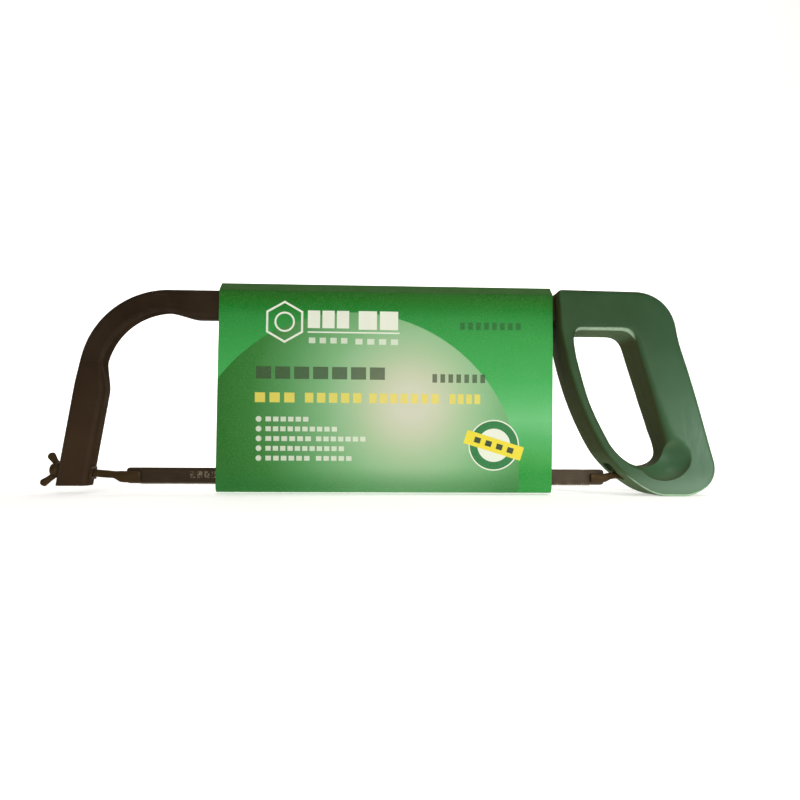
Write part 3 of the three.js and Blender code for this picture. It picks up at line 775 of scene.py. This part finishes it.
def wing(side):
    """One wing, an oval bar that widens towards its rounded tip. side is 1 for up and -1 for down."""
    root, tip = (WING_ROOT[0], WING_ROOT[1] * side), (WING_TIP[0], WING_TIP[1] * side)
    lean = math.atan2(tip[1] - root[1], tip[0] - root[0])
    cos, sin = math.cos(lean), math.sin(lean)
    length = math.dist(root, tip)
    rings = []
    for share in (step / 16 for step in range(17)):
        reach = (length + WING_ROUND) * share
        beyond = max(reach - length, 0) / WING_ROUND
        width = lerp(2.0, 2.6, smoothstep(share, 0.2, 0.8)) * math.sqrt(max(1 - beyond * beyond, 0.0025))
        thick = lerp(1.7, 1.45, smoothstep(share, 0, 0.6)) * (1 - 0.35 * beyond * beyond)
        ring = []
        for angle in (2 * math.pi * k / 20 for k in range(20)):
            a, b = width * math.cos(angle), thick * math.sin(angle)
            ring.append((root[0] + reach * cos - a * sin, b, root[1] + reach * sin + a * cos))
        rings.append(ring)
    return skin("wing", rings)


def wing_nut(material):
    """Hub and wings, run together as in a casting."""
    profile = [(0, 0), (4.0, 0), (4.3, -0.3), (4.3, -1.0), (3.7, -3.3), (3.3, -3.6), (0, -3.6)]
    hub = lathe("wing_nut_cast", profile, turned_on_x, 40)
    boolean(hub, [wing(-1), wing(1)], "UNION")
    remesh = hub.modifiers.new("remesh", "REMESH")
    remesh.mode = "VOXEL"
    remesh.voxel_size = 0.22 * MM
    soften = hub.modifiers.new("soften", "SMOOTH")
    soften.factor = 0.5
    soften.iterations = 5
    apply_modifiers(hub)
    boolean(hub, [lathe("bore", pin_profile(THREAD_R + 0.2, -9, 3), turned_on_x, 40)])
    cos, sin = math.cos(NUT_AT_REST), math.sin(NUT_AT_REST)
    for vertex in hub.data.vertices:
        x, y, z = (vertex.co.x / MM + SHIFT_X, vertex.co.y / MM, vertex.co.z / MM)
        across = y * cos - z * sin
        up = y * sin + z * cos
        vertex.co = metres(along_bolt(NUT_SEAT_U + x, across, up))
    finish_piece(hub, material, "nut", "hardware_steel", ["wing_nut"], 50)


def flat_washer(material):
    profile = pin_profile(WASHER_R, WASHER_U, WASHER_U + WASHER_THICK, 0.15)
    made = lathe("flat_washer_stamped", profile, turned_on_bolt)
    boolean(made, [lathe("washer_bore", pin_profile(THREAD_R + 0.3, -40, -30), turned_on_bolt)])
    finish_piece(made, material, "frame", "hardware_steel", ["flat_washer"])


def rear_anchor(material):
    """The paddle beside the blade's far end, and its square stem."""
    paddle_and_stem = [
        (146.9, -2.1, -0.8, 9.3, 12.7, 0.4),
        (147.3, -2.4, -0.65, 8.6, 13.3, 0.5),
        (148.2, -2.4, -0.65, 8.3, 13.6, 0.5),
        (155.4, -2.4, -0.65, 8.3, 13.8, 0.5),
        (157.0, -2.4, -0.5, 8.5, 14.0, 0.6),
        (158.6, -2.35, 0.4, 9.3, 14.3, 0.8),
        (160.4, -2.2, 1.5, 10.2, 14.55, 0.8),
        (162.6, -2.0, 2.0, 10.6, 14.6, 0.6),
        (176.0, -2.0, 2.0, 10.6, 14.6, 0.5),
        (190.4, -2.0, 2.0, 10.6, 14.6, 0.5),
        (191.0, -1.6, 1.6, 11.0, 14.2, 0.4),
    ]
    made = skin("rear_anchor_forged", forged_rings(paddle_and_stem))
    seat = cross_bore(REAR_PIN_AT, BLADE_PIN_R + 0.02, -1.95, 5, 32)
    boolean(made, [seat, cross_bore(CROSS_PIN_AT, CROSS_PIN_R + 0.05, -9, 9, 32)])
    finish_piece(made, material, "blade_train", "hardware_steel", ["rear_anchor"])


def pins(material):
    """The blade's two pins, the cross pin and the tube's retaining pin."""
    listed = [
        ("front_blade_pin", "blade_train", FRONT_PIN_AT, BLADE_PIN_R, -1.9, 3.0, 0.35),
        ("rear_blade_pin", "blade_train", REAR_PIN_AT, BLADE_PIN_R, -1.9, 3.0, 0.35),
        ("anchor_cross_pin", "blade_train", CROSS_PIN_AT, CROSS_PIN_R, -4.6, 4.6, 0.3),
        ("tube_retaining_pin", "frame", RETAINING_PIN_AT, RETAINING_PIN_R, -10.5, 10.5, 0.3),
    ]
    for node, body, at, radius, low, high, chamfer in listed:
        made = lathe(node + "_turned", pin_profile(radius, low, high, chamfer), across_at(*at))
        finish_piece(made, material, body, "bright_steel", [node])


# ---------------------------------------------------------------- blade
BLADE_HALF, BLADE_HEIGHT, BLADE_THICK = 154.0, 10.7, 0.65
BLADE_END_R, BLADE_HOLE_R = 2.2, 1.9
TOOTH_PITCH, TOOTH_DEPTH, TOOTHED_HALF = 25.4 / 24, 0.55, 145.0
SET_WAVE, SET_REACH = 8.5, 0.22  # length of the wavy set's wave, and how far it leans to each side


def blade_column(x, foot):
    """The strip's outline across its thickness at x, with its lower edge at height foot."""
    half = BLADE_THICK / 2
    top = BLADE_Z + BLADE_HEIGHT / 2
    from_end = BLADE_HALF - abs(x - BLADE_MID_X)
    lift = BLADE_END_R - math.sqrt(max(BLADE_END_R**2 - max(BLADE_END_R - from_end, 0) ** 2, 0))
    toothed = smoothstep(TOOTHED_HALF - abs(x - BLADE_MID_X), -2, 4)
    lean = SET_REACH * toothed * math.sin(2 * math.pi * x / SET_WAVE)
    low = BLADE_Z - BLADE_HEIGHT / 2
    chamfer = 0.07
    foot, top = foot + lift, top - lift
    return [
        (x, -half, top - chamfer),
        (x, -half, low + 3.0),
        (x, -half + 0.3 * lean, low + 1.6),
        (x, -half + lean + chamfer / 2, foot + chamfer),
        (x, -half + lean + chamfer, foot),
        (x, half + lean - chamfer, foot),
        (x, half + lean - chamfer / 2, foot + chamfer),
        (x, half + 0.3 * lean, low + 1.6),
        (x, half, low + 3.0),
        (x, half, top - chamfer),
        (x, half - chamfer, top),
        (x, -half + chamfer, top),
    ]


def saw_blade(material):
    low = BLADE_Z - BLADE_HEIGHT / 2
    root = low + TOOTH_DEPTH
    left, right = BLADE_MID_X - BLADE_HALF, BLADE_MID_X + BLADE_HALF
    from_ends = (0.0, 0.15, 0.5, 1.0, 2.2, 5.0, 8.6)
    columns = [(left + d, root) for d in from_ends]
    for i in range(int(2 * TOOTHED_HALF / TOOTH_PITCH)):
        x = BLADE_MID_X - TOOTHED_HALF + i * TOOTH_PITCH
        columns += [(x, root), (x + 0.12, low), (x + 0.24, low + 0.02), (x + 0.8, root - 0.04)]
    columns += [(right - d, root) for d in reversed(from_ends)]
    made = skin("saw_blade_toothed", [blade_column(x, foot) for x, foot in columns])
    boolean(made, [cross_bore(at, BLADE_HOLE_R, -2, 2) for at in (FRONT_PIN_AT, REAR_PIN_AT)])
    finish_piece(made, material, "blade", "blade_steel", ["saw_blade"], 30)


# ---------------------------------------------------------------- outlines of the handle
def bezier(points, control_a, control_b, end, steps=40):
    """Continues a line of points along a cubic curve."""
    corners = (points[-1], control_a, control_b, end)
    for t in (i / steps for i in range(1, steps + 1)):
        weights = ((1 - t) ** 3, 3 * t * (1 - t) ** 2, 3 * t * t * (1 - t), t**3)
        points.append(tuple(sum(w * p[axis] for w, p in zip(weights, corners)) for axis in (0, 1)))


def spline(points, through):
    """Continues a line of points along a Catmull-Rom curve through the listed ones."""
    knots = [points[-1], *through]
    knots = [knots[0], *knots, knots[-1]]
    for before, start, end, after in zip(knots, knots[1:], knots[2:], knots[3:]):
        control_a = [here + (ahead - back) / 6 for here, ahead, back in zip(start, end, before)]
        control_b = [here - (ahead - back) / 6 for here, ahead, back in zip(end, after, start)]
        bezier(points, control_a, control_b, end, 24)


def handle_outline():
    """The handle's outer outline in X and Z, clockwise from the front bar's head."""
    points = [(122.6, 106.0), (121.2, 128.8)]
    bezier(points, (121.2, 130.5), (122.0, 131.2), (123.8, 131.2))
    points.append((172.0, 130.6))
    bezier(points, (184, 130.1), (195.6, 122), (198, 107))
    spline(points, [(200.4, 97), (206.4, 79), (212.8, 58.5), (219.6, 35), (223.6, 21.5)])
    bezier(points, (225.6, 10.5), (219, 2.5), (206, 0))
    points.append((190.0, 0.0))
    bezier(points, (179, 2), (171.6, 8.3), (161.4, 16.2))
    spline(points, [(150.4, 29.2), (137.8, 54), (128.6, 80), (122.6, 106)])
    return points


def opening_outline():
    """The opening's outline, clockwise from the foot of its front side."""
    points = [(154.7, 34.0)]
    spline(points, [(142.2, 59), (133.4, 88)])
    bezier(points, (131.8, 97), (129.5, 105.4), (136, 105.4))
    points.append((161.0, 105.4))
    bezier(points, (166.5, 105.4), (170, 102.8), (172, 97.5))
    spline(points, [(181.6, 67.5), (191.6, 35)])
    bezier(points, (194.4, 25.5), (190, 18.8), (179, 18.8))
    bezier(points, (168, 18.8), (160, 26), (154.7, 34))
    return points


def averaged(loop, weights):
    """Each value on a loop averaged with its neighbours, by an odd number of weights."""
    reach = len(weights) // 2
    shares = weights / weights.sum()
    return sum(w * np.roll(loop, k - reach, axis=0) for k, w in enumerate(shares))


def even_loop(points, step=0.25, soften=0.9):
    """A closed outline at even steps, with its corners softened over about the given length."""
    outline = np.array(points + [points[0]])
    lengths = np.concatenate([[0], np.cumsum(np.linalg.norm(np.diff(outline, axis=0), axis=1))])
    count = int(lengths[-1] / step)
    marks = np.arange(count) * lengths[-1] / count
    even = np.stack([np.interp(marks, lengths, outline[:, axis]) for axis in (0, 1)], axis=1)
    reach = int(4 * soften / step)
    return averaged(even, np.exp(-0.5 * (np.arange(-reach, reach + 1) * step / soften) ** 2))


def matched_marks(loop, places):
    """The positions along a loop of the points nearest to some places, rising from the first."""
    found = [int(np.argmin(np.linalg.norm(loop - np.array(place), axis=1))) for place in places]
    first = found[0]
    return first, [(mark - first) % len(loop) for mark in found] + [len(loop)]


# Points of the outline and of the opening that face each other across the handle.
FACING = [
    ((122.6, 106.0), (132.6, 97.0)),
    ((122.0, 129.0), (133.0, 104.2)),
    ((140.0, 131.0), (142.0, 105.4)),
    ((165.0, 130.7), (160.0, 105.4)),
    ((190.0, 124.0), (168.6, 102.8)),
    ((199.2, 102.0), (173.6, 93.0)),
    ((206.4, 79.0), (179.0, 78.5)),
    ((212.8, 58.5), (186.2, 58.0)),
    ((219.6, 35.0), (193.0, 36.0)),
    ((223.9, 16.0), (193.9, 27.0)),
    ((214.0, 2.6), (189.0, 20.6)),
    ((197.0, 0.0), (180.0, 18.8)),
    ((180.0, 2.0), (170.0, 20.9)),
    ((166.0, 10.8), (162.5, 25.0)),
    ((155.0, 22.0), (157.0, 30.6)),
    ((146.5, 36.0), (152.0, 39.0)),
    ((137.8, 54.0), (144.6, 54.0)),
    ((128.6, 80.0), (136.0, 80.0)),
]

# How the opening's edge is rounded: (place on the opening, width along the face, depth across it).
OPENING_EDGES = [
    ((133.0, 92.0), 2.4, 2.4),
    ((140.0, 105.4), 3.4, 3.0),
    ((160.0, 105.4), 3.6, 3.2),
    ((169.5, 101.0), 4.4, 3.6),
    ((176.0, 86.0), 4.2, 3.8),
    ((184.0, 65.0), 5.0, 4.6),
    ((190.0, 46.0), 7.0, 6.0),
    ((194.0, 31.0), 11.0, 8.0),
    ((186.0, 19.6), 8.0, 7.0),
    ((172.0, 20.2), 4.5, 4.0),
    ((160.0, 27.0), 2.6, 2.4),
    ((144.6, 54.0), 2.3, 2.3),
]

HANDLE_HALF, PARTING, OUTER_ROUND, HANDLE_RINGS = 15.0, 0.04, 2.9, 620
SCOOP_AT, SCOOP_SIZE, SCOOP_DEPTH = (190.0, 25.0), (17.5, 15.0), 9.0


def scoop_depth(x, z):
    """Depth of the hollow below the little finger, sharp along its lower edge and soft above."""
    over_x, over_z = (x - SCOOP_AT[0]) / SCOOP_SIZE[0], (z - SCOOP_AT[1]) / SCOOP_SIZE[1]
    left = 1 - over_x**2 - over_z**2
    if left <= 0:
        return 0.0
    return SCOOP_DEPTH * left ** lerp(0.8, 1.7, smoothstep(over_z, -0.4, 0.8))


def smooth_top(a, b, blend):
    """The larger of two numbers, blended where they are close."""
    gap = max(blend - abs(a - b), 0) / blend
    return max(a, b) + gap * gap * blend / 4


def handle_profile(length, edge_wide, edge_deep, outer):
    """A shell's section from the opening's wall to the outer wall, as (distance, depth from the face)."""
    inner_wall = [(0.0, y) for y in np.linspace(HANDLE_HALF - PARTING, edge_deep, 9)[:-1]]
    turns = [math.radians(90 * k / 11) for k in range(12)]
    inner_round = [(edge_wide * (1 - math.cos(a)), edge_deep * (1 - math.sin(a))) for a in turns]
    start, end = edge_wide, length - outer
    shares = [(k / 46) ** 1.25 for k in range(1, 46)]
    face = [(lerp(start, end, share), 0.0) for share in shares]
    turns = [math.radians(90 * k / 8) for k in range(9)]
    outer_round = [(length - outer + outer * math.sin(a), outer * (1 - math.cos(a))) for a in turns]
    outer_wall = [(length, y) for y in np.linspace(outer, HANDLE_HALF - PARTING, 8)[1:]]
    return inner_wall + inner_round + face + outer_round + outer_wall


def ring_values(loop, listed):
    """Widths and depths listed at places on a loop, eased from one place to the next all the way round."""
    offset, marks = matched_marks(loop, [place for place, _, _ in listed])
    widths = [wide for _, wide, _ in listed] + [listed[0][1]]
    depths = [deep for _, _, deep in listed] + [listed[0][2]]

    def at(mark):
        local = (mark - offset) % len(loop)
        i = max(k for k in range(len(marks) - 1) if marks[k] <= local)
        share = smoothstep(local, marks[i], marks[i + 1])
        return lerp(widths[i], widths[i + 1], share), lerp(depths[i], depths[i + 1], share)

    return at


def handle_rings(side):
    """Sections of one shell all round the opening. side is -1 for the near shell, 1 for the far one."""
    outer, inner = even_loop(handle_outline()), even_loop(opening_outline())
    outer_first, outer_marks = matched_marks(outer, [pair[0] for pair in FACING])
    inner_first, inner_marks = matched_marks(inner, [pair[1] for pair in FACING])
    outer, inner = np.roll(outer, -outer_first, axis=0), np.roll(inner, -inner_first, axis=0)
    edges = ring_values(inner, OPENING_EDGES)
    steps = np.arange(HANDLE_RINGS) / HANDLE_RINGS * len(outer)
    even_pace = steps * len(inner) / len(outer)
    drift = np.interp(steps, outer_marks, inner_marks) - even_pace
    facing = averaged(drift, np.hanning(63)[1:-1]) + even_pace
    rings = []
    for out_mark, in_mark in zip(steps, facing):
        out_point = outer[int(out_mark) % len(outer)]
        whole = math.floor(in_mark)
        here, after = inner[whole % len(inner)], inner[(whole + 1) % len(inner)]
        in_point = here + (after - here) * (in_mark - whole)
        chord = out_point - in_point
        length = float(np.linalg.norm(chord))
        wide, deep = edges(in_mark)
        outer_round = min(OUTER_ROUND, length * 0.4)
        ring = []
        for run, depth in handle_profile(length, min(wide, length * 0.45), deep, outer_round):
            x, z = in_point + chord * (run / length)
            crown = 0.5 * (2 * run / length - 1) ** 4
            depth = smooth_top(depth + crown * (1 - depth / HANDLE_HALF), scoop_depth(x, z), 0.5)
            ring.append((x, side * max(HANDLE_HALF - depth, PARTING), z))
        rings.append(ring)
    return rings


# ---------------------------------------------------------------- handle shells
SCREW_AT = [(127.2, 100.0), (186.0, 117.0), (197.5, 66.0), (210.0, 13.0)]
SCREW_SHANK = [(0, -9.0), (0.9, -9.0), (1.5, -8.2), (1.5, 9.3)]
SCREW_HEAD = [(2.4, 9.3), (2.6, 9.5), (2.6, 10.4), (2.4, 10.8), (1.9, 11.05), (1.1, 11.2), (0, 11.2)]
WELL_R, WELL_FLOOR, RECESS_FLOOR = 2.8, 9.0, 10.1
CLEARANCE = 0.25  # of the tube and the socket in the shells
SLOT_X, SLOT_Y, SLOT_Z, SLOT_BEVEL = (144.0, 163.0), (-6.0, 6.0), (2.0, 20.8), 1.2
# Half sizes of the ways round the anchor's stem, its socket and its cross pin, and where they run.
STEM_WAY, SOCKET_WAY, CROSS_PIN_WAY = 2.6, 4.0 + CLEARANCE, 5.2
STEM_WAY_X, SOCKET_WAY_X, CROSS_PIN_WAY_X = (160.0, 200.0), (171.75, 184.1), (183.7, 191.5)
CHANNEL_X = (112, TUBE_END_X + 0.3)


def tube_channel():
    half_thick, half_tall = TUBE_THICK / 2 + CLEARANCE, TUBE_TALL / 2 + CLEARANCE
    middle = TUBE_TOP - TUBE_TALL / 2
    section = rounded_rect(half_thick, half_tall, TUBE_CORNER_R + CLEARANCE, 6)
    return skin("channel", [[(x, a, middle + b) for a, b in section] for x in CHANNEL_X])


def stem_way(name, x, half_y, half_z):
    """A cutter for a straight way round the rear anchor's stem."""
    return box_object(name, x, (-half_y, half_y), (STEM_Z - half_z, STEM_Z + half_z))


def handle_shell(side, name, node, material):
    """One shell, with its half of the slot and of the ways for tube, anchor, socket and pins."""
    made = skin(name, handle_rings(side), loop=True)
    slot = box_object("slot", SLOT_X, SLOT_Y, SLOT_Z)
    bevel(slot, SLOT_BEVEL)
    cutters = [
        tube_channel(),
        slot,
        stem_way("stem_way", STEM_WAY_X, STEM_WAY, STEM_WAY),
        stem_way("socket_way", SOCKET_WAY_X, SOCKET_WAY, SOCKET_WAY),
        stem_way("cross_pin_way", CROSS_PIN_WAY_X, CROSS_PIN_WAY, STEM_WAY),
        cross_bore(RETAINING_PIN_AT, RETAINING_PIN_R + 0.05, -10.8, 10.8),
    ]
    if side > 0:
        cutters += [cross_bore(at, WELL_R, WELL_FLOOR, 20) for at in SCREW_AT]
    boolean(made, cutters)
    finish_piece(made, material, "frame", "handle_plastic", [node], 30)


def handle_screws(material):
    """Domed heads with a cross recess, set in the far shell's wells."""
    for i, (x, z) in enumerate(SCREW_AT, start=1):
        made = lathe(f"handle_screw_{i}_turned", SCREW_SHANK + SCREW_HEAD, across_at(x, z))
        depth = (RECESS_FLOOR, 13.0)
        arms = [(1.7, 0.4), (0.4, 1.7)]
        boolean(made, [box_object("arm", (x - a, x + a), depth, (z - b, z + b)) for a, b in arms])
        finish_piece(made, material, "frame", "bright_steel", [f"handle_screw_{i}"])


# ---------------------------------------------------------------- card sleeve
SLEEVE_X, SLEEVE_Z = (-93.2, 119.2), (1.4, 133.8)
SLEEVE_HALF, SLEEVE_CARD, SHOULDER_Z, RIDGE_RISE = 8.8, 0.45, 128.4, 2.4
SLEEVE_SKEW = 0.9  # how far the left end leans, each way from its middle


def rounded_polygon(corners):
    """(a, b, outward a, outward b) round a polygon of (a, b, radius, points along the side that follows)."""
    arcs = []
    for i, (a, b, radius, _) in enumerate(corners):
        corner = Vector((a, b))
        before = (Vector(corners[i - 1][:2]) - corner).normalized()
        after = (Vector(corners[(i + 1) % len(corners)][:2]) - corner).normalized()
        half = before.angle(after) / 2
        centre = corner + (before + after).normalized() * radius / math.sin(half)
        start = corner + before * radius / math.tan(half) - centre
        turns = [Matrix.Rotation((math.pi - 2 * half) * k / 8, 2) for k in range(9)]
        arcs.append([(centre, (turn @ start).normalized(), radius) for turn in turns])
    rows = []
    for i, arc in enumerate(arcs):
        for centre, out, radius in arc:
            rows.append((*(centre + out * radius), *out))
        here, there = rows[-1], arcs[(i + 1) % len(arcs)][0]
        after = there[0] + there[1] * there[2]
        count = corners[i][3]
        for share in (k / count for k in range(1, count)):
            rows.append((lerp(here[0], after.x, share), lerp(here[1], after.y, share), *here[2:]))
    return rows


def sleeve_section():
    """The folded card's section: flat sides, a rounded fold below and a ridge over the tube."""
    low, high = SLEEVE_Z
    return rounded_polygon([
        (-SLEEVE_HALF, low, 3.8, 8),
        (SLEEVE_HALF, low, 3.8, 46),
        (SLEEVE_HALF, SHOULDER_Z, 1.8, 6),
        (0.0, high + RIDGE_RISE, 4.0, 6),
        (-SLEEVE_HALF, SHOULDER_Z, 1.8, 46),
    ])


def sleeve_wave(x, y, z):
    """How far the card stands in or out: large and small waves, a belly, and ends that draw in."""
    at = Vector((x * 0.018, y * 0.06 + 4.0, z * 0.022))
    belly = 0.7 * math.sin(math.pi * min(max((z - 8) / 112, 0), 1)) - 0.3
    ends = 0.5 * (smoothstep(x, 108, 119.5) + smoothstep(-x, 84, 93))
    return 0.75 * noise.noise(at) + 0.22 * noise.noise(at * 4.5) + belly - 0.25 * ends


def sleeve_rings(inset):
    """The sleeve's outer or inner surface as rings from left to right."""
    left, right = SLEEVE_X
    middle_z = sum(SLEEVE_Z) / 2
    section = sleeve_section()
    made = []
    for share in np.linspace(0, 1, 110):
        ring = []
        for y, z, out_y, out_z in section:
            lean = SLEEVE_SKEW * (z - middle_z) / middle_z
            x = lerp(left + lean, right, share)
            shift = sleeve_wave(x, y, z) * abs(out_y) ** 2 - inset
            ring.append((x, y + shift * out_y, z + shift * out_z))
        made.append(ring)
    return made


def card_sleeve(material, edge_material):
    made = skin("card_sleeve_folded", sleeve_rings(0.0) + sleeve_rings(SLEEVE_CARD)[::-1], loop=True)
    finish_piece(made, material, "sleeve", "printed_card", ["card_sleeve"], 40)
    made.data.materials.append(edge_material.data)
    for face in made.data.polygons:
        face.material_index = 1 if abs(face.normal.x) > 0.7 else 0


# ---------------------------------------------------------------- room, in metres
SHEET_FRONT, SHEET_BEHIND, SHEET_CURVE, SHEET_TOP, SHEET_HALF = -2.5, 1.2, 0.6, 3.5, 4.0
WARM_WHITE = (1.0, 0.98, 0.95)
CAMERA_YAW, CAMERA_ROLL, LENS_MM, LENS_SHIFT = math.radians(2.4), math.radians(0.35), 27.77, 0.0559
EYE_MM = (5.24, -400.0, 32.0)  # the camera's place on the shape code's axes


def floor_and_wall():
    """One pale sheet that curves from the floor up into the wall behind."""
    material = Material("studio_sheet_mat")
    material.set("Roughness", 0.9)
    material.set("Emission Strength", 0.5)
    material.set("Emission Color", (1.0, 0.985, 0.96, 1.0))
    share = material.span(material.noise(3.0), 0.3, 0.7)
    material.set("Base Color", material.mix(share, (0.86, 0.86, 0.85, 1), (0.88, 0.88, 0.87, 1)))
    profile = [(SHEET_FRONT, 0.0)]
    for angle in (math.radians(90 * k / 12) for k in range(13)):
        out, up = SHEET_CURVE * math.sin(angle), SHEET_CURVE * (1 - math.cos(angle))
        profile.append((SHEET_BEHIND + out, up))
    profile.append((SHEET_BEHIND + SHEET_CURVE, SHEET_TOP))
    mesh = bpy.data.meshes.new("studio_sheet")
    points = [(x, y, z) for y, z in profile for x in (-SHEET_HALF, SHEET_HALF)]
    mesh.from_pydata(points, [], [(2 * i, 2 * i + 1, 2 * i + 3, 2 * i + 2) for i in range(len(profile) - 1)])
    sheet = bpy.data.objects.new("studio_sheet", mesh)
    bpy.context.scene.collection.objects.link(sheet)
    mesh.materials.append(material.data)
    for face in mesh.polygons:
        face.use_smooth = True


def aimed(name, kind, place, target, power, colour):
    """A light at a place, turned towards a target. Its data is returned."""
    data = bpy.data.lights.new(name, kind)
    data.energy = power
    data.color = colour
    light = bpy.data.objects.new(name, data)
    bpy.context.scene.collection.objects.link(light)
    light.location = place
    light.rotation_euler = (Vector(target) - Vector(place)).to_track_quat("-Z", "Y").to_euler()
    return data


def area_light(name, place, target, size, power, colour):
    aimed(name, "AREA", place, target, power, colour).size = size


def spot(name, place, target, spread, power, colour=WARM_WHITE, blend=0.8, radius=0.2):
    data = aimed(name, "SPOT", place, target, power, colour)
    data.spot_size = math.radians(spread)
    data.spot_blend = blend
    data.shadow_soft_size = radius


def surroundings():
    """A dim room that darkens from the horizon upwards."""
    world = bpy.data.worlds.new("studio")
    world.use_nodes = True
    tree = world.node_tree
    kinds = ("ShaderNodeTexCoord", "ShaderNodeSeparateXYZ", "ShaderNodeMapRange")
    place, split, band = (tree.nodes.new(kind) for kind in kinds)
    for socket, value in enumerate((0.0, 0.5, 0.3, 0.06), start=1):
        band.inputs[socket].default_value = value
    tree.links.new(place.outputs["Generated"], split.inputs[0])
    tree.links.new(split.outputs[2], band.inputs[0])
    tree.links.new(band.outputs[0], tree.nodes["Background"].inputs[1])
    tree.nodes["Background"].inputs[0].default_value = (*WARM_WHITE, 1.0)
    bpy.context.scene.world = world


def lighting():
    """Low lights on the saw's near side, and spots that brighten the sheet before and behind it."""
    area_light("key", (0.3, -1.15, 0.07), (0.05, 0.0, 0.06), 0.4, 3.8, (1.0, 0.97, 0.92))
    area_light("low_front", (0.2, -0.32, 0.016), (0.12, 0.0, 0.06), 0.03, 0.12, (1.0, 0.99, 0.97))
    spot("low_side", (0.36, -0.24, 0.03), (0.215, -0.01, 0.02), 34, 2.3, (0.94, 1.0, 1.0), 1.0, 0.03)
    area_light("top", (0.0, -0.2, 1.9), (0.0, 0.0, 0.0), 1.5, 5, WARM_WHITE)
    spot("front_spot", (0.1, -0.85, 1.2), (0.08, -0.33, 0.0), 40, 35)
    spot("back_spot", (0.0, -0.5, 2.4), (0.0, 1.6, 0.2), 66, 200)
    spot("wall_spot", (0.0, -0.5, 2.4), (0.0, 1.6, 1.3), 96, 110)
    surroundings()


def camera():
    """The view of the saw's near side: level, close above the ground, turned a little to the right."""
    forward = Vector((math.sin(CAMERA_YAW), math.cos(CAMERA_YAW), 0))
    right = Vector((math.cos(CAMERA_YAW), -math.sin(CAMERA_YAW), 0))
    up = Vector((0, 0, 1))
    tilted_right = right * math.cos(CAMERA_ROLL) + up * math.sin(CAMERA_ROLL)
    tilted_up = up * math.cos(CAMERA_ROLL) - right * math.sin(CAMERA_ROLL)
    data = bpy.data.cameras.new("camera")
    data.lens = LENS_MM
    data.sensor_width = 36.0
    data.shift_y = LENS_SHIFT
    data.clip_start = 0.01
    made = bpy.data.objects.new("camera", data)
    bpy.context.scene.collection.objects.link(made)
    turn = Matrix((tilted_right, tilted_up, -forward)).transposed()
    made.matrix_world = Matrix.Translation(Vector(metres(EYE_MM))) @ turn.to_4x4()
    bpy.context.scene.camera = made


# ---------------------------------------------------------------- build
paint = paint_material()
green = handle_material()
dark_steel = steel_material(
    "hardware_steel_mat", linear(52, 38, 18), linear(78, 60, 34), 0.48, metallic=0.2, wear=0.06, gloss=0.1
)
bright_steel = steel_material("bright_steel_mat", linear(120, 120, 116), linear(190, 190, 184), 0.32)
blade_steel = blade_material()
plug_plastic = plug_material()
card = card_material()
card_edge = card_edge_material()

frame_tube(paint)
tension_bolt(dark_steel)
wing_nut(dark_steel)
flat_washer(dark_steel)
rear_anchor(dark_steel)
pins(bright_steel)
saw_blade(blade_steel)
handle_shell(-1, "handle_near_moulded", "handle_shell_near", green)
handle_shell(1, "handle_far_moulded", "handle_shell_far", green)
handle_screws(bright_steel)
card_sleeve(card, card_edge)

for node, piece_name, width, material, slot in (
    ("tension_guide", "tension_guide_bevelled", 0.4, dark_steel, "hardware_steel"),
    ("leg_end_plug", "leg_end_plug_moulded", 0.25, plug_plastic, "plug_plastic"),
    ("anchor_socket", "anchor_socket_bevelled", 0.3, bright_steel, "bright_steel"),
):
    copy = from_node(node, piece_name)
    bevel(copy, width)
    finish_piece(copy, material, "frame", slot, [node])

floor_and_wall()
lighting()
camera()
bpy.context.scene.view_settings.view_transform = "Standard"
